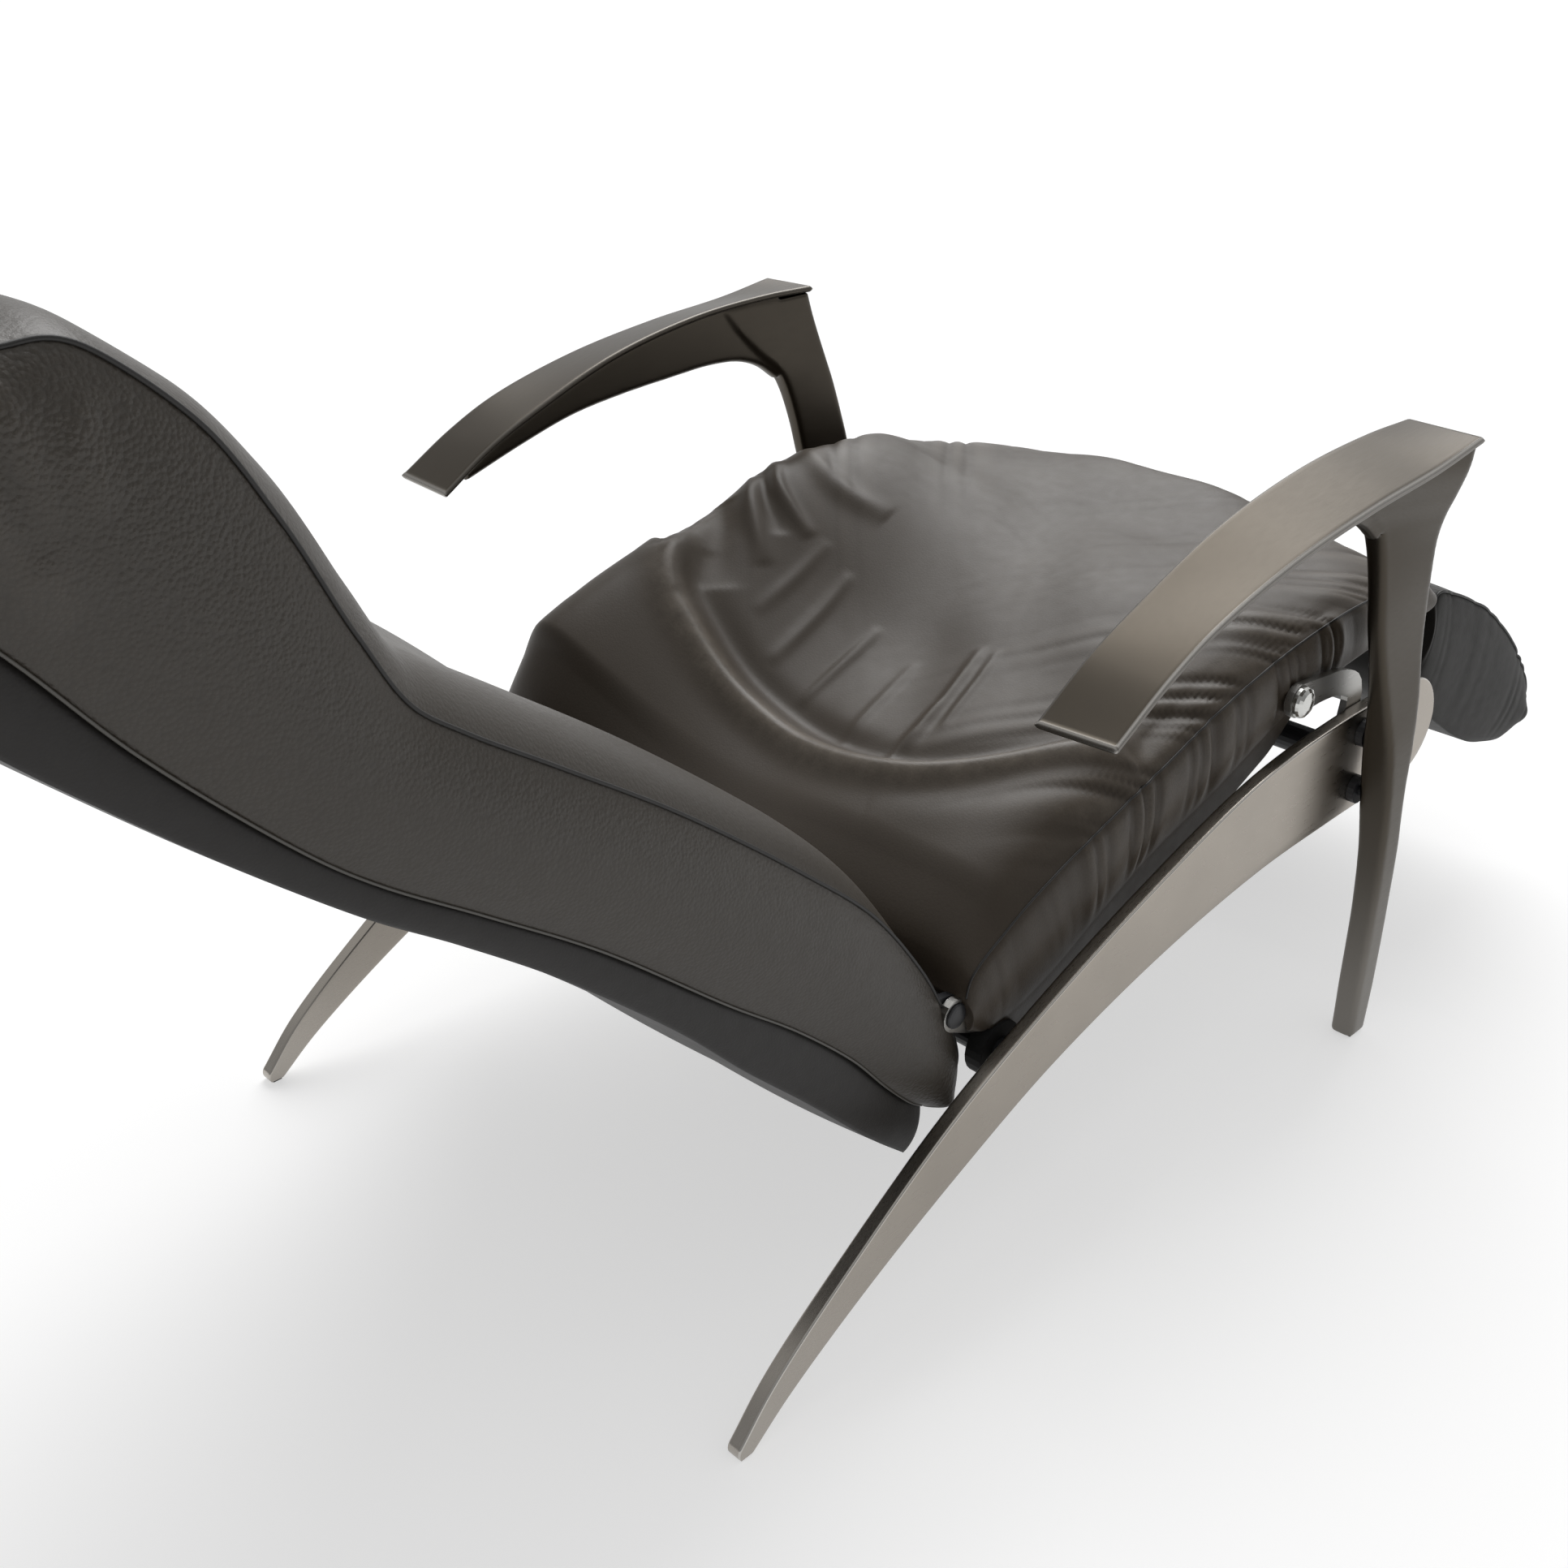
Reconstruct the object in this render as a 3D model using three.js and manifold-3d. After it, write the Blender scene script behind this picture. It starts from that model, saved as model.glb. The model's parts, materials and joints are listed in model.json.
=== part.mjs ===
// A reclining lounge chair with leather upholstery and two cast side frames.
// It is drawn as it stands when it is leant back: seat tilted, leg rest half down.
// Millimetres. X runs across the chair, -Y is the way the sitter faces, Z is up.
// Left is the sitter's left, +X. Before the last step Y is counted from the line of the front feet.
import * as THREE from 'three';
import * as BufferGeometryUtils from 'three/addons/utils/BufferGeometryUtils.js';
import Module from 'manifold-3d';

const wasm = await Module();
wasm.setup();

// Clearances
const fitGap = 0.3;
const runningGap = 0.6;
const cutOverrun = 30;

// Widths of the side frames, from the arm's outer edge inwards
const overallWidth = 730;
const armWidth = 61;
const legInset = 6;
const spacerLength = 7;
const railThickness = 12;
const bracketThickness = 6;
const skirtThickness = 9;
const frameBarThickness = 6;

// Arm plate, the web below it and the front leg
const armLength = 427;
const armHeight = 554;
const armFrontY = 33;
const armThickness = 6;
const armEdge = 1.5;
const webThickness = 14;
const legDepth = 67;
const legWidth = 20;

// Side rail
const railSpan = 791;
const railNoseY = -91;
const railHeight = 300;
const railDepth = 93;
const railEdge = 2.5;

// Feet
const glideThickness = 2;
const frontGlideSize = 15;
const rearGlideWidth = 9;
const rearGlideLength = 8;

// Cross tubes of the base
const frontTubeRadius = 12.5;
const rearTubeRadius = 10;
const rearTubeSetback = 47.3;

// Bolts and spacers between rail and leg
const boltRadius = 4;
const boltHeadRadius = 8;
const boltHeadHeight = 4;
const boltReach = 10;
const boltSpread = 52;
const boltLineY = -7;
const spacerRadius = 12;

// Hinge places on the side view
const seatPivotY = 82;
const seatPivotRise = 81.35;
const seatReach = 390.08;
const hingeRise = 70.64;
const pinRadius = 6;
const pinHeadRadius = 13;
const pinHeadHeight = 9;

// Seat frame
const frameBarDepth = 22;
const hingeLugDepth = 25;
const seatTubeRadius = 9;
const hingeShaftRadius = 8;
const hingeHeadRadius = 9.5;
const hingeHeadHeight = 3;
const strapWidth = 46;
const strapThickness = 2.5;

// Seat cushion
const seatCrown = 103;
const seatMiddle = 11;
const seatRightSideShare = 0.3;
const seatRoll = 28;
const seatSideRound = 6;

// Back
const backLength = 848;
const backDepth = 150;
const backLean = 43.3;
const backCrown = 26;
const backDish = 14;
const backSideRound = 6;
const shellInset = 6;
const shellCrown = 10;
const shellSideRound = 5;
const uprightThickness = 6;
const uprightDepth = 22;
const backTubeRadius = 8;

// Leg rest
const legrestLength = 338;
const legrestDepth = 100;
const legrestLean = 35;
const legrestInset = 3.5;
const legrestCrown = 12;
const legrestSideRound = 7;
const legrestArmDepth = 18;
const legrestTubeRadius = 8;
const legrestPinRadius = 5;
const legrestPinHeadRadius = 8;
const legrestPinHeadHeight = 3;

// Gas springs and the lugs that carry them
const strutRadius = 10;
const strutRodRadius = 4;
const strutEyeRadius = 9;
const strutEyeWidth = 8;
const studRadius = 3.5;
const openStudPlay = 2;
const lugThickness = 5;
const lugDepth = 18;
const seatStrutSetback = 19;
const seatStrutDrop = 32;
const seatStrutLugDrop = 31;
const backStrutDrop = 36;
const backStrutX = -60;
const backLeverLength = 44.7;
const backLeverAngle = 243.4;

// Rubber rings on the rear tube, which the seat comes down on
const bufferWidth = 14;
const bufferRadius = 22.35;

// Faces across the chair, each from the one outside it
const armOuterX = overallWidth / 2;
const legInnerX = armOuterX - armWidth - legInset;
const railOuterX = legInnerX - spacerLength;
const railInnerX = railOuterX - railThickness;
const bracketOuterX = railInnerX - fitGap;
const bracketInnerX = bracketOuterX - bracketThickness;
const cushionHalfWidth = bracketInnerX - runningGap - 2 * fitGap;
const barOuterX = cushionHalfWidth - skirtThickness;
const barInnerX = barOuterX - frameBarThickness;
const backHalfWidth = barOuterX - runningGap;
const shellHalfWidth = backHalfWidth - shellInset;
const legrestHalfWidth = cushionHalfWidth - legrestInset;
const armOfHingeOuterX = barInnerX - 2 * runningGap;
const armOfHingeInnerX = armOfHingeOuterX - uprightThickness;
const strutLugOuterX = barInnerX - fitGap;
const strutLugInnerX = strutLugOuterX - lugThickness;

// Finishes
const castAluminium = new THREE.MeshStandardMaterial({ color: 0x7d7771, roughness: 0.32, metalness: 1 });
const bareAluminium = new THREE.MeshStandardMaterial({ color: 0xb4b4b2, roughness: 0.3, metalness: 1 });
const darkSteel = new THREE.MeshStandardMaterial({ color: 0x35363a, roughness: 0.5, metalness: 0.6 });
const brightSteel = new THREE.MeshStandardMaterial({ color: 0xc9c9c6, roughness: 0.15, metalness: 1 });
const leather = new THREE.MeshStandardMaterial({ color: 0x45413c, roughness: 0.5, metalness: 0 });
const shellLeather = new THREE.MeshStandardMaterial({ color: 0x353230, roughness: 0.55, metalness: 0 });
const rubber = new THREE.MeshStandardMaterial({ color: 0x1c1c1c, roughness: 0.85, metalness: 0 });
const webbing = new THREE.MeshStandardMaterial({ color: 0x24221f, roughness: 0.9, metalness: 0 });

const chair = new THREE.Group();

function addMesh(name, geometry, material, mirrored = false) {
  const mesh = new THREE.Mesh(geometry, material);
  mesh.name = name;
  if (mirrored) mesh.scale.x = -1;
  chair.add(mesh);
  return mesh;
}

// One piece on the sitter's left and its mirror image on the right.
function addPair(name, geometry, material) {
  addMesh(`${name}_left`, geometry, material);
  addMesh(`${name}_right`, geometry, material, true);
}

// Solid geometry

function signedVolume(geometry) {
  const at = geometry.attributes.position;
  const index = geometry.index.array;
  const a = new THREE.Vector3();
  const b = new THREE.Vector3();
  const c = new THREE.Vector3();
  let sum = 0;
  for (let i = 0; i < index.length; i += 3) {
    a.fromBufferAttribute(at, index[i]);
    b.fromBufferAttribute(at, index[i + 1]);
    c.fromBufferAttribute(at, index[i + 2]);
    sum += a.dot(b.cross(c));
  }
  return sum;
}

// Keeps the corners only, welds them, and turns the faces outwards.
function welded(geometry) {
  const bare = new THREE.BufferGeometry();
  bare.setAttribute('position', geometry.attributes.position.clone());
  if (geometry.index) bare.setIndex(geometry.index.clone());
  const merged = BufferGeometryUtils.mergeVertices(bare, 1e-3);
  const faces = [];
  const all = merged.index.array;
  for (let i = 0; i < all.length; i += 3) {
    const [a, b, c] = [all[i], all[i + 1], all[i + 2]];
    if (a !== b && b !== c && c !== a) faces.push([a, b, c]);
  }
  merged.setIndex(faces.flat());
  if (signedVolume(merged) < 0) merged.setIndex(faces.map(([a, b, c]) => [a, c, b]).flat());
  return merged;
}

function toSolid(geometry) {
  const part = welded(geometry);
  const mesh = new wasm.Mesh({
    numProp: 3,
    vertProperties: new Float32Array(part.attributes.position.array),
    triVerts: new Uint32Array(part.index.array),
  });
  return new wasm.Manifold(mesh);
}

function toGeometry(solid) {
  const mesh = solid.getMesh();
  const geometry = new THREE.BufferGeometry();
  geometry.setAttribute('position', new THREE.BufferAttribute(new Float32Array(mesh.vertProperties), 3));
  geometry.setIndex(new THREE.BufferAttribute(new Uint32Array(mesh.triVerts), 1));
  return welded(geometry);
}

function joined(...geometries) {
  return toGeometry(geometries.map(toSolid).reduce((sum, next) => sum.add(next)));
}

function cut(body, ...tools) {
  return toGeometry(tools.map(toSolid).reduce((rest, tool) => rest.subtract(tool), toSolid(body)));
}

// A closed skin over rings that all have the same number of points.
function loft(rings) {
  const count = rings[0].length;
  const corners = rings.flat();
  const faces = [];
  for (let ring = 0; ring < rings.length - 1; ring += 1) {
    for (let i = 0; i < count; i += 1) {
      const a = ring * count + i;
      const b = ring * count + ((i + 1) % count);
      faces.push(a, b, b + count, a, b + count, a + count);
    }
  }
  for (const [ring, first] of [[rings[0], 0], [rings.at(-1), (rings.length - 1) * count]]) {
    const middle = ring.reduce((sum, point) => sum.add(point), new THREE.Vector3()).divideScalar(count);
    const hub = corners.push(middle) - 1;
    for (let i = 0; i < count; i += 1) {
      const a = first + i;
      const b = first + ((i + 1) % count);
      if (first === 0) faces.push(hub, b, a);
      else faces.push(hub, a, b);
    }
  }
  const geometry = new THREE.BufferGeometry().setFromPoints(corners);
  geometry.setIndex(faces);
  return welded(geometry);
}

// Side-view shapes: a Vector2 holds (y, z), and thickness runs along X from innerX outwards.
function sidePlate(shape, innerX, thickness, edge = 0) {
  const geometry = new THREE.ExtrudeGeometry(shape, {
    depth: thickness - 2 * edge,
    curveSegments: 10,
    bevelEnabled: edge > 0,
    bevelThickness: edge,
    bevelSize: edge,
    bevelOffset: -edge,
    bevelSegments: 1,
  });
  geometry.translate(0, 0, innerX + edge);
  const sideways = new THREE.Matrix4().makeBasis(
    new THREE.Vector3(0, 1, 0),
    new THREE.Vector3(0, 0, 1),
    new THREE.Vector3(1, 0, 0),
  );
  return welded(geometry.applyMatrix4(sideways));
}

// Samples a smooth line through stations of (y, z, half width).
function smoothStations(stations, steps) {
  const points = stations.map(([y, z, half]) => new THREE.Vector3(y, z, half));
  return new THREE.CatmullRomCurve3(points, false, 'centripetal').getPoints(steps);
}

// The outline of a band with round ends that follows the stations.
function bandShape(stations, steps, floorZ = -Infinity, clearance = 0, endSteps = 8) {
  const line = smoothStations(stations, steps);
  const left = [];
  const right = [];
  const ends = [];
  line.forEach((point, i) => {
    const before = line[Math.max(i - 1, 0)];
    const after = line[Math.min(i + 1, line.length - 1)];
    const along = new THREE.Vector2(after.x - before.x, after.y - before.y).normalize();
    const half = point.z + clearance;
    left.push(new THREE.Vector2(point.x - along.y * half, point.y + along.x * half));
    right.push(new THREE.Vector2(point.x + along.y * half, point.y - along.x * half));
    if (i === 0 || i === line.length - 1) ends.push({ point, half, angle: along.angle() });
  });
  const arc = ({ point, half, angle }, from) => {
    const points = [];
    for (let i = 1; i < endSteps; i += 1) {
      const turn = angle + from - (Math.PI * i) / endSteps;
      points.push(new THREE.Vector2(point.x + half * Math.cos(turn), point.y + half * Math.sin(turn)));
    }
    return points;
  };
  const tips = [arc(ends[0], -Math.PI / 2), arc(ends[1], Math.PI / 2)];
  const outline = [...left, ...tips[1], ...right.reverse(), ...tips[0]];
  outline.forEach((point) => { point.y = Math.max(point.y, floorZ); });
  return new THREE.Shape(outline.reverse());
}

const holeSteps = 14;
function addHole(shape, centre, radius) {
  const points = [];
  const cornerRadius = radius / Math.cos(Math.PI / holeSteps);
  for (let i = 0; i < holeSteps; i += 1) {
    const turn = (-2 * Math.PI * i) / holeSteps;
    const corner = new THREE.Vector2(Math.cos(turn), Math.sin(turn)).multiplyScalar(cornerRadius);
    points.push(corner.add(centre));
  }
  shape.holes.push(new THREE.Path(points));
  return shape;
}

// A turned piece whose axis runs along X through (y, z). The profile holds pairs of (x, radius).
function turned(profile, centre, segments = 24) {
  const points = profile.map(([x, radius]) => new THREE.Vector2(radius, x));
  const geometry = new THREE.LatheGeometry(points, segments);
  geometry.rotateZ(-Math.PI / 2);
  geometry.translate(0, centre.x, centre.y);
  return welded(geometry);
}

function plainTube(centre, radius, halfLength, segments = 20) {
  return turned([[-halfLength, 0], [-halfLength, radius], [halfLength, radius], [halfLength, 0]], centre, segments);
}

function pinBetween(fromX, toX, radius, centre, segments = 16) {
  return turned([[fromX, 0], [fromX, radius], [toX, radius], [toX, 0]], centre, segments);
}

// A frame of reference on the side view: an origin, a direction along and one across.
function sideFrame(origin, degrees) {
  const turn = THREE.MathUtils.degToRad(degrees);
  const along = new THREE.Vector2(Math.cos(turn), Math.sin(turn));
  const across = new THREE.Vector2(-along.y, along.x);
  return (u, v) => origin.clone().addScaledVector(along, u).addScaledVector(across, v);
}

// Base frame

const railPathShares = [
  [0, 0.847, 0.989], [0.15, 0.848, 1], [0.29, 0.826, 0.935], [0.466, 0.729, 0.735], [0.625, 0.599, 0.594],
  [0.741, 0.468, 0.53], [0.861, 0.294, 0.38], [0.957, 0.127, 0.262], [1, 0.023, 0.17],
];
const railStations = railPathShares.map(([yShare, zShare, depthShare]) => [
  railNoseY + railSpan * yShare,
  railHeight * zShare,
  (railDepth / 2) * depthShare,
]);
// The middle of the rail where it passes a place.
function onRail(y) {
  const line = smoothStations(railStations, 60);
  const index = Math.max(line.findIndex((point) => point.x >= y), 1);
  const before = line[index - 1];
  const after = line[index];
  const middle = before.clone().lerp(after, (y - before.x) / (after.x - before.x));
  return new THREE.Vector2(y, middle.y);
}
const frontTubeAt = onRail(boltLineY);
const boltsAt = [1, -1].map((side) => new THREE.Vector2(boltLineY, frontTubeAt.y + (side * boltSpread) / 2));

function railGeometry() {
  const shape = bandShape(railStations, 32, glideThickness);
  boltsAt.forEach((at) => addHole(shape, at, boltRadius + fitGap));
  return sidePlate(shape, railInnerX, railThickness, railEdge);
}

// Shares of the arm's length and height: place, height of the inner edge, height of the outer edge.
const armTopShares = [
  [1, 0.825, 0.83], [0.888, 0.876, 0.878], [0.775, 0.913, 0.914], [0.571, 0.967, 0.951],
  [0.347, 0.998, 0.973], [0.143, 1.006, 0.985], [0, 1.003, 1],
];
const webUnderShares = [
  [0.946, 0.828], [0.803, 0.861], [0.677, 0.885], [0.546, 0.897], [0.422, 0.903], [0.295, 0.907],
  [0.211, 0.901], [0.15, 0.884], [0.098, 0.856],
];
const armTopLine = smoothStations(
  armTopShares.map(([y, inner, outer]) => [armFrontY + armLength * y, armHeight * inner, armHeight * outer]),
  22,
);
function armTopAt(y) {
  const found = armTopLine.findIndex((point) => point.x <= y);
  const index = Math.min(Math.max(found, 1), armTopLine.length - 1);
  const behind = armTopLine[index - 1];
  const ahead = armTopLine[index];
  const share = THREE.MathUtils.clamp((behind.x - y) / (behind.x - ahead.x), 0, 1);
  return behind.clone().lerp(ahead, share);
}

const armInnerX = armOuterX - armWidth;
// The height of the middle of the plate at a place under or on it.
function armMidZ(x, y) {
  const { y: innerZ, z: outerZ } = armTopAt(y);
  const share = THREE.MathUtils.clamp((x - armInnerX) / armWidth, 0, 1);
  return innerZ + (outerZ - innerZ) * share - armThickness / 2;
}

function armPlateGeometry() {
  const innerX = armInnerX;
  const rings = armTopLine.map(({ x: y, y: innerZ, z: outerZ }) => {
    const corner = (x, z) => new THREE.Vector3(x, y, z);
    return [
      corner(innerX + armEdge, innerZ),
      corner(armOuterX - armEdge, outerZ),
      corner(armOuterX, outerZ - armEdge),
      corner(armOuterX, outerZ - armThickness + armEdge),
      corner(armOuterX - armEdge, outerZ - armThickness),
      corner(innerX + armEdge, innerZ - armThickness),
      corner(innerX, innerZ - armThickness + armEdge),
      corner(innerX, innerZ - armEdge),
    ];
  });
  return loft(rings);
}

// The web narrows from the plate's underside to its own lower edge.
const webFlareShare = 0.75;
function armWebGeometry() {
  const line = smoothStations(
    webUnderShares.map(([y, z]) => [armFrontY + armLength * y, armHeight * z, 0]),
    20,
  );
  const innerX = armInnerX + armEdge;
  const rings = line.map(({ x: y, y: z }) => {
    const depth = Math.max(armMidZ(innerX, y) - z, armThickness);
    const flare = Math.min(depth * webFlareShare, armWidth - webThickness - 3 * armEdge);
    const low = armMidZ(innerX, y) - depth;
    const flareX = innerX + webThickness + flare;
    return [
      new THREE.Vector3(innerX, y, armMidZ(innerX, y)),
      new THREE.Vector3(flareX, y, armMidZ(flareX, y)),
      new THREE.Vector3(innerX + webThickness + flare / 4, y, low + depth / 2),
      new THREE.Vector3(innerX + webThickness, y, low + armEdge),
      new THREE.Vector3(innerX + webThickness - armEdge, y, low),
      new THREE.Vector3(innerX + armEdge, y, low),
      new THREE.Vector3(innerX, y, low + armEdge),
    ];
  });
  return loft(rings);
}

// Level sections of the leg, as shares: height of the arm, depth to the rear edge, depth to the front edge,
// and across the arm from its inner edge: inner face, outer face at the rear, outer face at the front.
const legFootShare = glideThickness / armHeight;
const legSectionShares = [
  [legFootShare, 0.13, -0.25, 0.224, 0.539, 0.539],
  [0.105, 0.07, -0.36, 0.191, 0.521, 0.521],
  [0.218, 0.01, -0.42, 0.164, 0.501, 0.501],
  [0.318, 0, -0.45, 0.118, 0.484, 0.484],
  [0.406, 0.02, -0.44, 0.037, 0.455, 0.455],
  [0.491, 0.09, -0.49, 0, 0.416, 0.427],
  [0.56, 0.21, -0.52, 0.03, 0.351, 0.388],
  [0.639, 0.42, -0.45, 0.06, 0.304, 0.351],
  [0.706, 0.61, -0.35, 0.06, 0.296, 0.361],
  [0.767, 0.75, -0.19, 0.06, 0.304, 0.416],
  [0.828, 0.93, -0.01, 0.06, 0.322, 0.493],
  [0.868, 1.12, 0.13, 0.06, 0.351, 0.596],
  [0.912, 1.55, 0.27, 0.079, 0.399, 0.755],
  [0.957, 1.95, 0.41, 0.088, 0.484, 0.906],
  [0.992, 2.2, 0.5, 0.097, 0.53, 0.972],
];
const legEdgeShare = 0.2;
function legGeometry() {
  const acrossX = (share) => legInnerX + (armWidth + legInset) * share;
  const rings = legSectionShares.map(([heightShare, rear, front, inner, outerRear, outerFront]) => {
    const rearY = legDepth * rear;
    const frontY = legDepth * front;
    const innerX = acrossX(inner);
    const rearX = acrossX(outerRear);
    const frontX = acrossX(outerFront);
    const edge = legWidth * legEdgeShare;
    return [
      [innerX, rearY - edge], [innerX + edge, rearY], [rearX - edge, rearY], [rearX, rearY - edge],
      [frontX, frontY + edge], [frontX - edge, frontY], [innerX + edge, frontY], [innerX, frontY + edge],
    ].map(([x, y]) => new THREE.Vector3(x, y, Math.min(armHeight * heightShare, armMidZ(x, y))));
  });
  return loft(rings);
}

function armLegGeometry() {
  const casting = joined(armPlateGeometry(), armWebGeometry(), legGeometry());
  const drills = boltsAt.map((at) => pinBetween(
    legInnerX - cutOverrun,
    legInnerX + boltReach + fitGap,
    boltRadius + fitGap,
    at,
  ));
  return cut(casting, ...drills);
}

const headEdgeShare = 0.8;
function boltGeometry(at) {
  const headX = bracketInnerX - fitGap;
  return turned([
    [headX - boltHeadHeight, 0], [headX - boltHeadHeight, boltHeadRadius * headEdgeShare],
    [headX - boltHeadHeight * headEdgeShare, boltHeadRadius], [headX, boltHeadRadius], [headX, boltRadius],
    [legInnerX + boltReach, boltRadius], [legInnerX + boltReach, 0],
  ], at, 12);
}

function spacerGeometry(at) {
  const from = railOuterX + fitGap;
  const to = legInnerX - fitGap;
  const bore = boltRadius + fitGap;
  return turned([[from, bore], [from, spacerRadius], [to, spacerRadius], [to, bore], [from, bore]], at, 16);
}

// Hinge places, each at its own height above the middle of the rail
const upFromRail = (y, rise) => onRail(y).add(new THREE.Vector2(0, rise));
const seatPivotAt = upFromRail(seatPivotY, seatPivotRise);
const hingeAt = upFromRail(seatPivotY + seatReach, hingeRise);
const seatSpan = seatPivotAt.distanceTo(hingeAt);
const seatTurn = hingeAt.clone().sub(seatPivotAt).angle();
const onSeat = sideFrame(seatPivotAt, THREE.MathUtils.radToDeg(seatTurn));
const seatPlace = (u, v) => onSeat(seatSpan * u, seatSpan * v);

// The bracket is bolted to the rail's inner face and rises to the seat's pivot.
const bracketHalfDepth = boltHeadRadius + armThickness;
const bracketRiseShares = [[0.62, 0.98], [0.24, 0.89], [0, 0.66]];
function bracketGeometry() {
  const [upper, lower] = boltsAt;
  const between = ([along, up]) => [
    upper.x + (seatPivotAt.x - upper.x) * along,
    upper.y + (seatPivotAt.y - upper.y) * up,
    bracketHalfDepth - armEdge * 2,
  ];
  const stations = [
    [seatPivotAt.x, seatPivotAt.y, bracketHalfDepth],
    ...bracketRiseShares.map(between),
    [upper.x, upper.y, bracketHalfDepth],
    [lower.x, lower.y, bracketHalfDepth],
  ];
  const shape = bandShape(stations, 20);
  boltsAt.forEach((at) => addHole(shape, at, boltRadius + fitGap));
  addHole(shape, seatPivotAt, pinRadius + fitGap);
  return sidePlate(shape, bracketInnerX, bracketThickness);
}

// A round head whose flat face is at x and whose dome points outwards by height.
function domeProfile(x, radius, height) {
  const profile = [[x, radius]];
  for (let i = 0; i <= 4; i += 1) {
    const turn = (Math.PI * i) / 8;
    profile.push([x + height / 3 + (height * 2 / 3) * Math.sin(turn), radius * Math.cos(turn)]);
  }
  return profile;
}

function pivotPinGeometry() {
  const nutX = barInnerX - fitGap;
  const nutHeight = lugThickness;
  const nutRadius = pinRadius + pinRadius / 2;
  const headX = bracketOuterX + fitGap;
  return turned([
    [nutX - nutHeight, 0], [nutX - nutHeight, nutRadius], [nutX, nutRadius], [nutX, pinRadius],
    [headX, pinRadius], ...domeProfile(headX, pinHeadRadius, pinHeadHeight),
  ], seatPivotAt, 24);
}

// Lugs: a plate with round ends that carries a stud at its lower end.
function studLugGeometry(topAt, topHalf, studAt, innerX, studFromX, bore = 0) {
  const shape = bandShape([[topAt.x, topAt.y, topHalf], [studAt.x, studAt.y, lugDepth / 2]], 6);
  if (bore > 0) addHole(shape, topAt, bore + fitGap);
  const plate = sidePlate(shape, innerX, lugThickness);
  return joined(plate, pinBetween(studFromX, innerX + lugThickness / 2, studRadius, studAt, 12));
}

const seatStrutFrontAt = frontTubeAt.clone().add(new THREE.Vector2(seatStrutSetback, -seatStrutDrop));
const seatStrutLug = {
  outerX: strutLugOuterX,
  innerX: strutLugInnerX,
  eyeOuterX: strutLugInnerX - runningGap,
};

function seatStrutFrontLugGeometry() {
  return studLugGeometry(
    frontTubeAt,
    frontTubeRadius + lugThickness,
    seatStrutFrontAt,
    seatStrutLug.innerX,
    seatStrutLug.eyeOuterX - strutEyeWidth - runningGap,
    frontTubeRadius,
  );
}

function glideGeometry(centre, sizeX, sizeY) {
  const height = glideThickness - fitGap;
  const geometry = new THREE.BoxGeometry(sizeX, sizeY, height);
  geometry.translate(centre.x, centre.y, height / 2);
  return welded(geometry);
}

function frontGlideGeometry() {
  const [, rear, front, inner, outer] = legSectionShares[0];
  const x = legInnerX + (armWidth + legInset) * (inner + outer) / 2;
  return glideGeometry(new THREE.Vector2(x, legDepth * (rear + front) / 2), frontGlideSize, frontGlideSize);
}

function rearGlideGeometry() {
  const x = (railInnerX + railOuterX) / 2;
  const foot = railStations.at(-1);
  return glideGeometry(new THREE.Vector2(x, foot[0]), rearGlideWidth, rearGlideLength);
}

function bufferGeometry() {
  const bore = rearTubeRadius + fitGap;
  const middle = (barInnerX + barOuterX) / 2;
  const from = middle - bufferWidth / 2;
  const to = middle + bufferWidth / 2;
  return turned(
    [[from, bore], [from, bufferRadius], [to, bufferRadius], [to, bore], [from, bore]],
    rearTubeAt,
    24,
  );
}

function buildBase() {
  addPair('arm_leg_casting', armLegGeometry(), castAluminium);
  addPair('side_rail', railGeometry(), castAluminium);
  boltsAt.forEach((at, i) => {
    const place = ['upper', 'lower'][i];
    addPair(`leg_spacer_${place}`, spacerGeometry(at), darkSteel);
    addPair(`leg_bolt_${place}`, boltGeometry(at), darkSteel);
  });
  addPair('pivot_bracket', bracketGeometry(), bareAluminium);
  addPair('seat_pivot_pin', pivotPinGeometry(), brightSteel);
  addMesh('base_front_tube', plainTube(frontTubeAt, frontTubeRadius, bracketInnerX - fitGap), darkSteel);
  addMesh('base_rear_tube', plainTube(rearTubeAt, rearTubeRadius, railInnerX - fitGap), darkSteel);
  addPair('seat_buffer', bufferGeometry(), rubber);
  addPair('front_glide', frontGlideGeometry(), rubber);
  addPair('rear_glide', rearGlideGeometry(), rubber);
  addMesh('seat_strut_front_lug', seatStrutFrontLugGeometry(), darkSteel);
}

// Seat frame

const barPathShares = [
  [-0.535, -0.138], [-0.342, -0.078], [0, 0], [0.184, -0.034], [0.393, -0.049], [0.62, -0.06],
  [0.838, -0.08], [0.935, -0.06], [1, 0],
];
const legrestPivotAt = seatPlace(...barPathShares[0]);
const seatTubeShare = [0.184, -0.034];
const midTubeAt = seatPlace(...seatTubeShare);
const frontSeatTubeShare = [-0.455, -0.113];
const frontSeatTubeAt = seatPlace(...frontSeatTubeShare);
const barStations = barPathShares.map(([u, v], i) => {
  const { x, y } = seatPlace(u, v);
  const isHinge = i === barPathShares.length - 1;
  return [x, y, (isHinge ? hingeLugDepth : frameBarDepth) / 2];
});
const barLine = smoothStations(barStations, 48);

// The bar's middle and half depth where it passes a place.
function barAt(y) {
  const index = Math.max(barLine.findIndex((point) => point.x >= y), 1);
  const before = barLine[index - 1];
  const after = barLine[index];
  return before.clone().lerp(after, (y - before.x) / (after.x - before.x));
}

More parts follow.
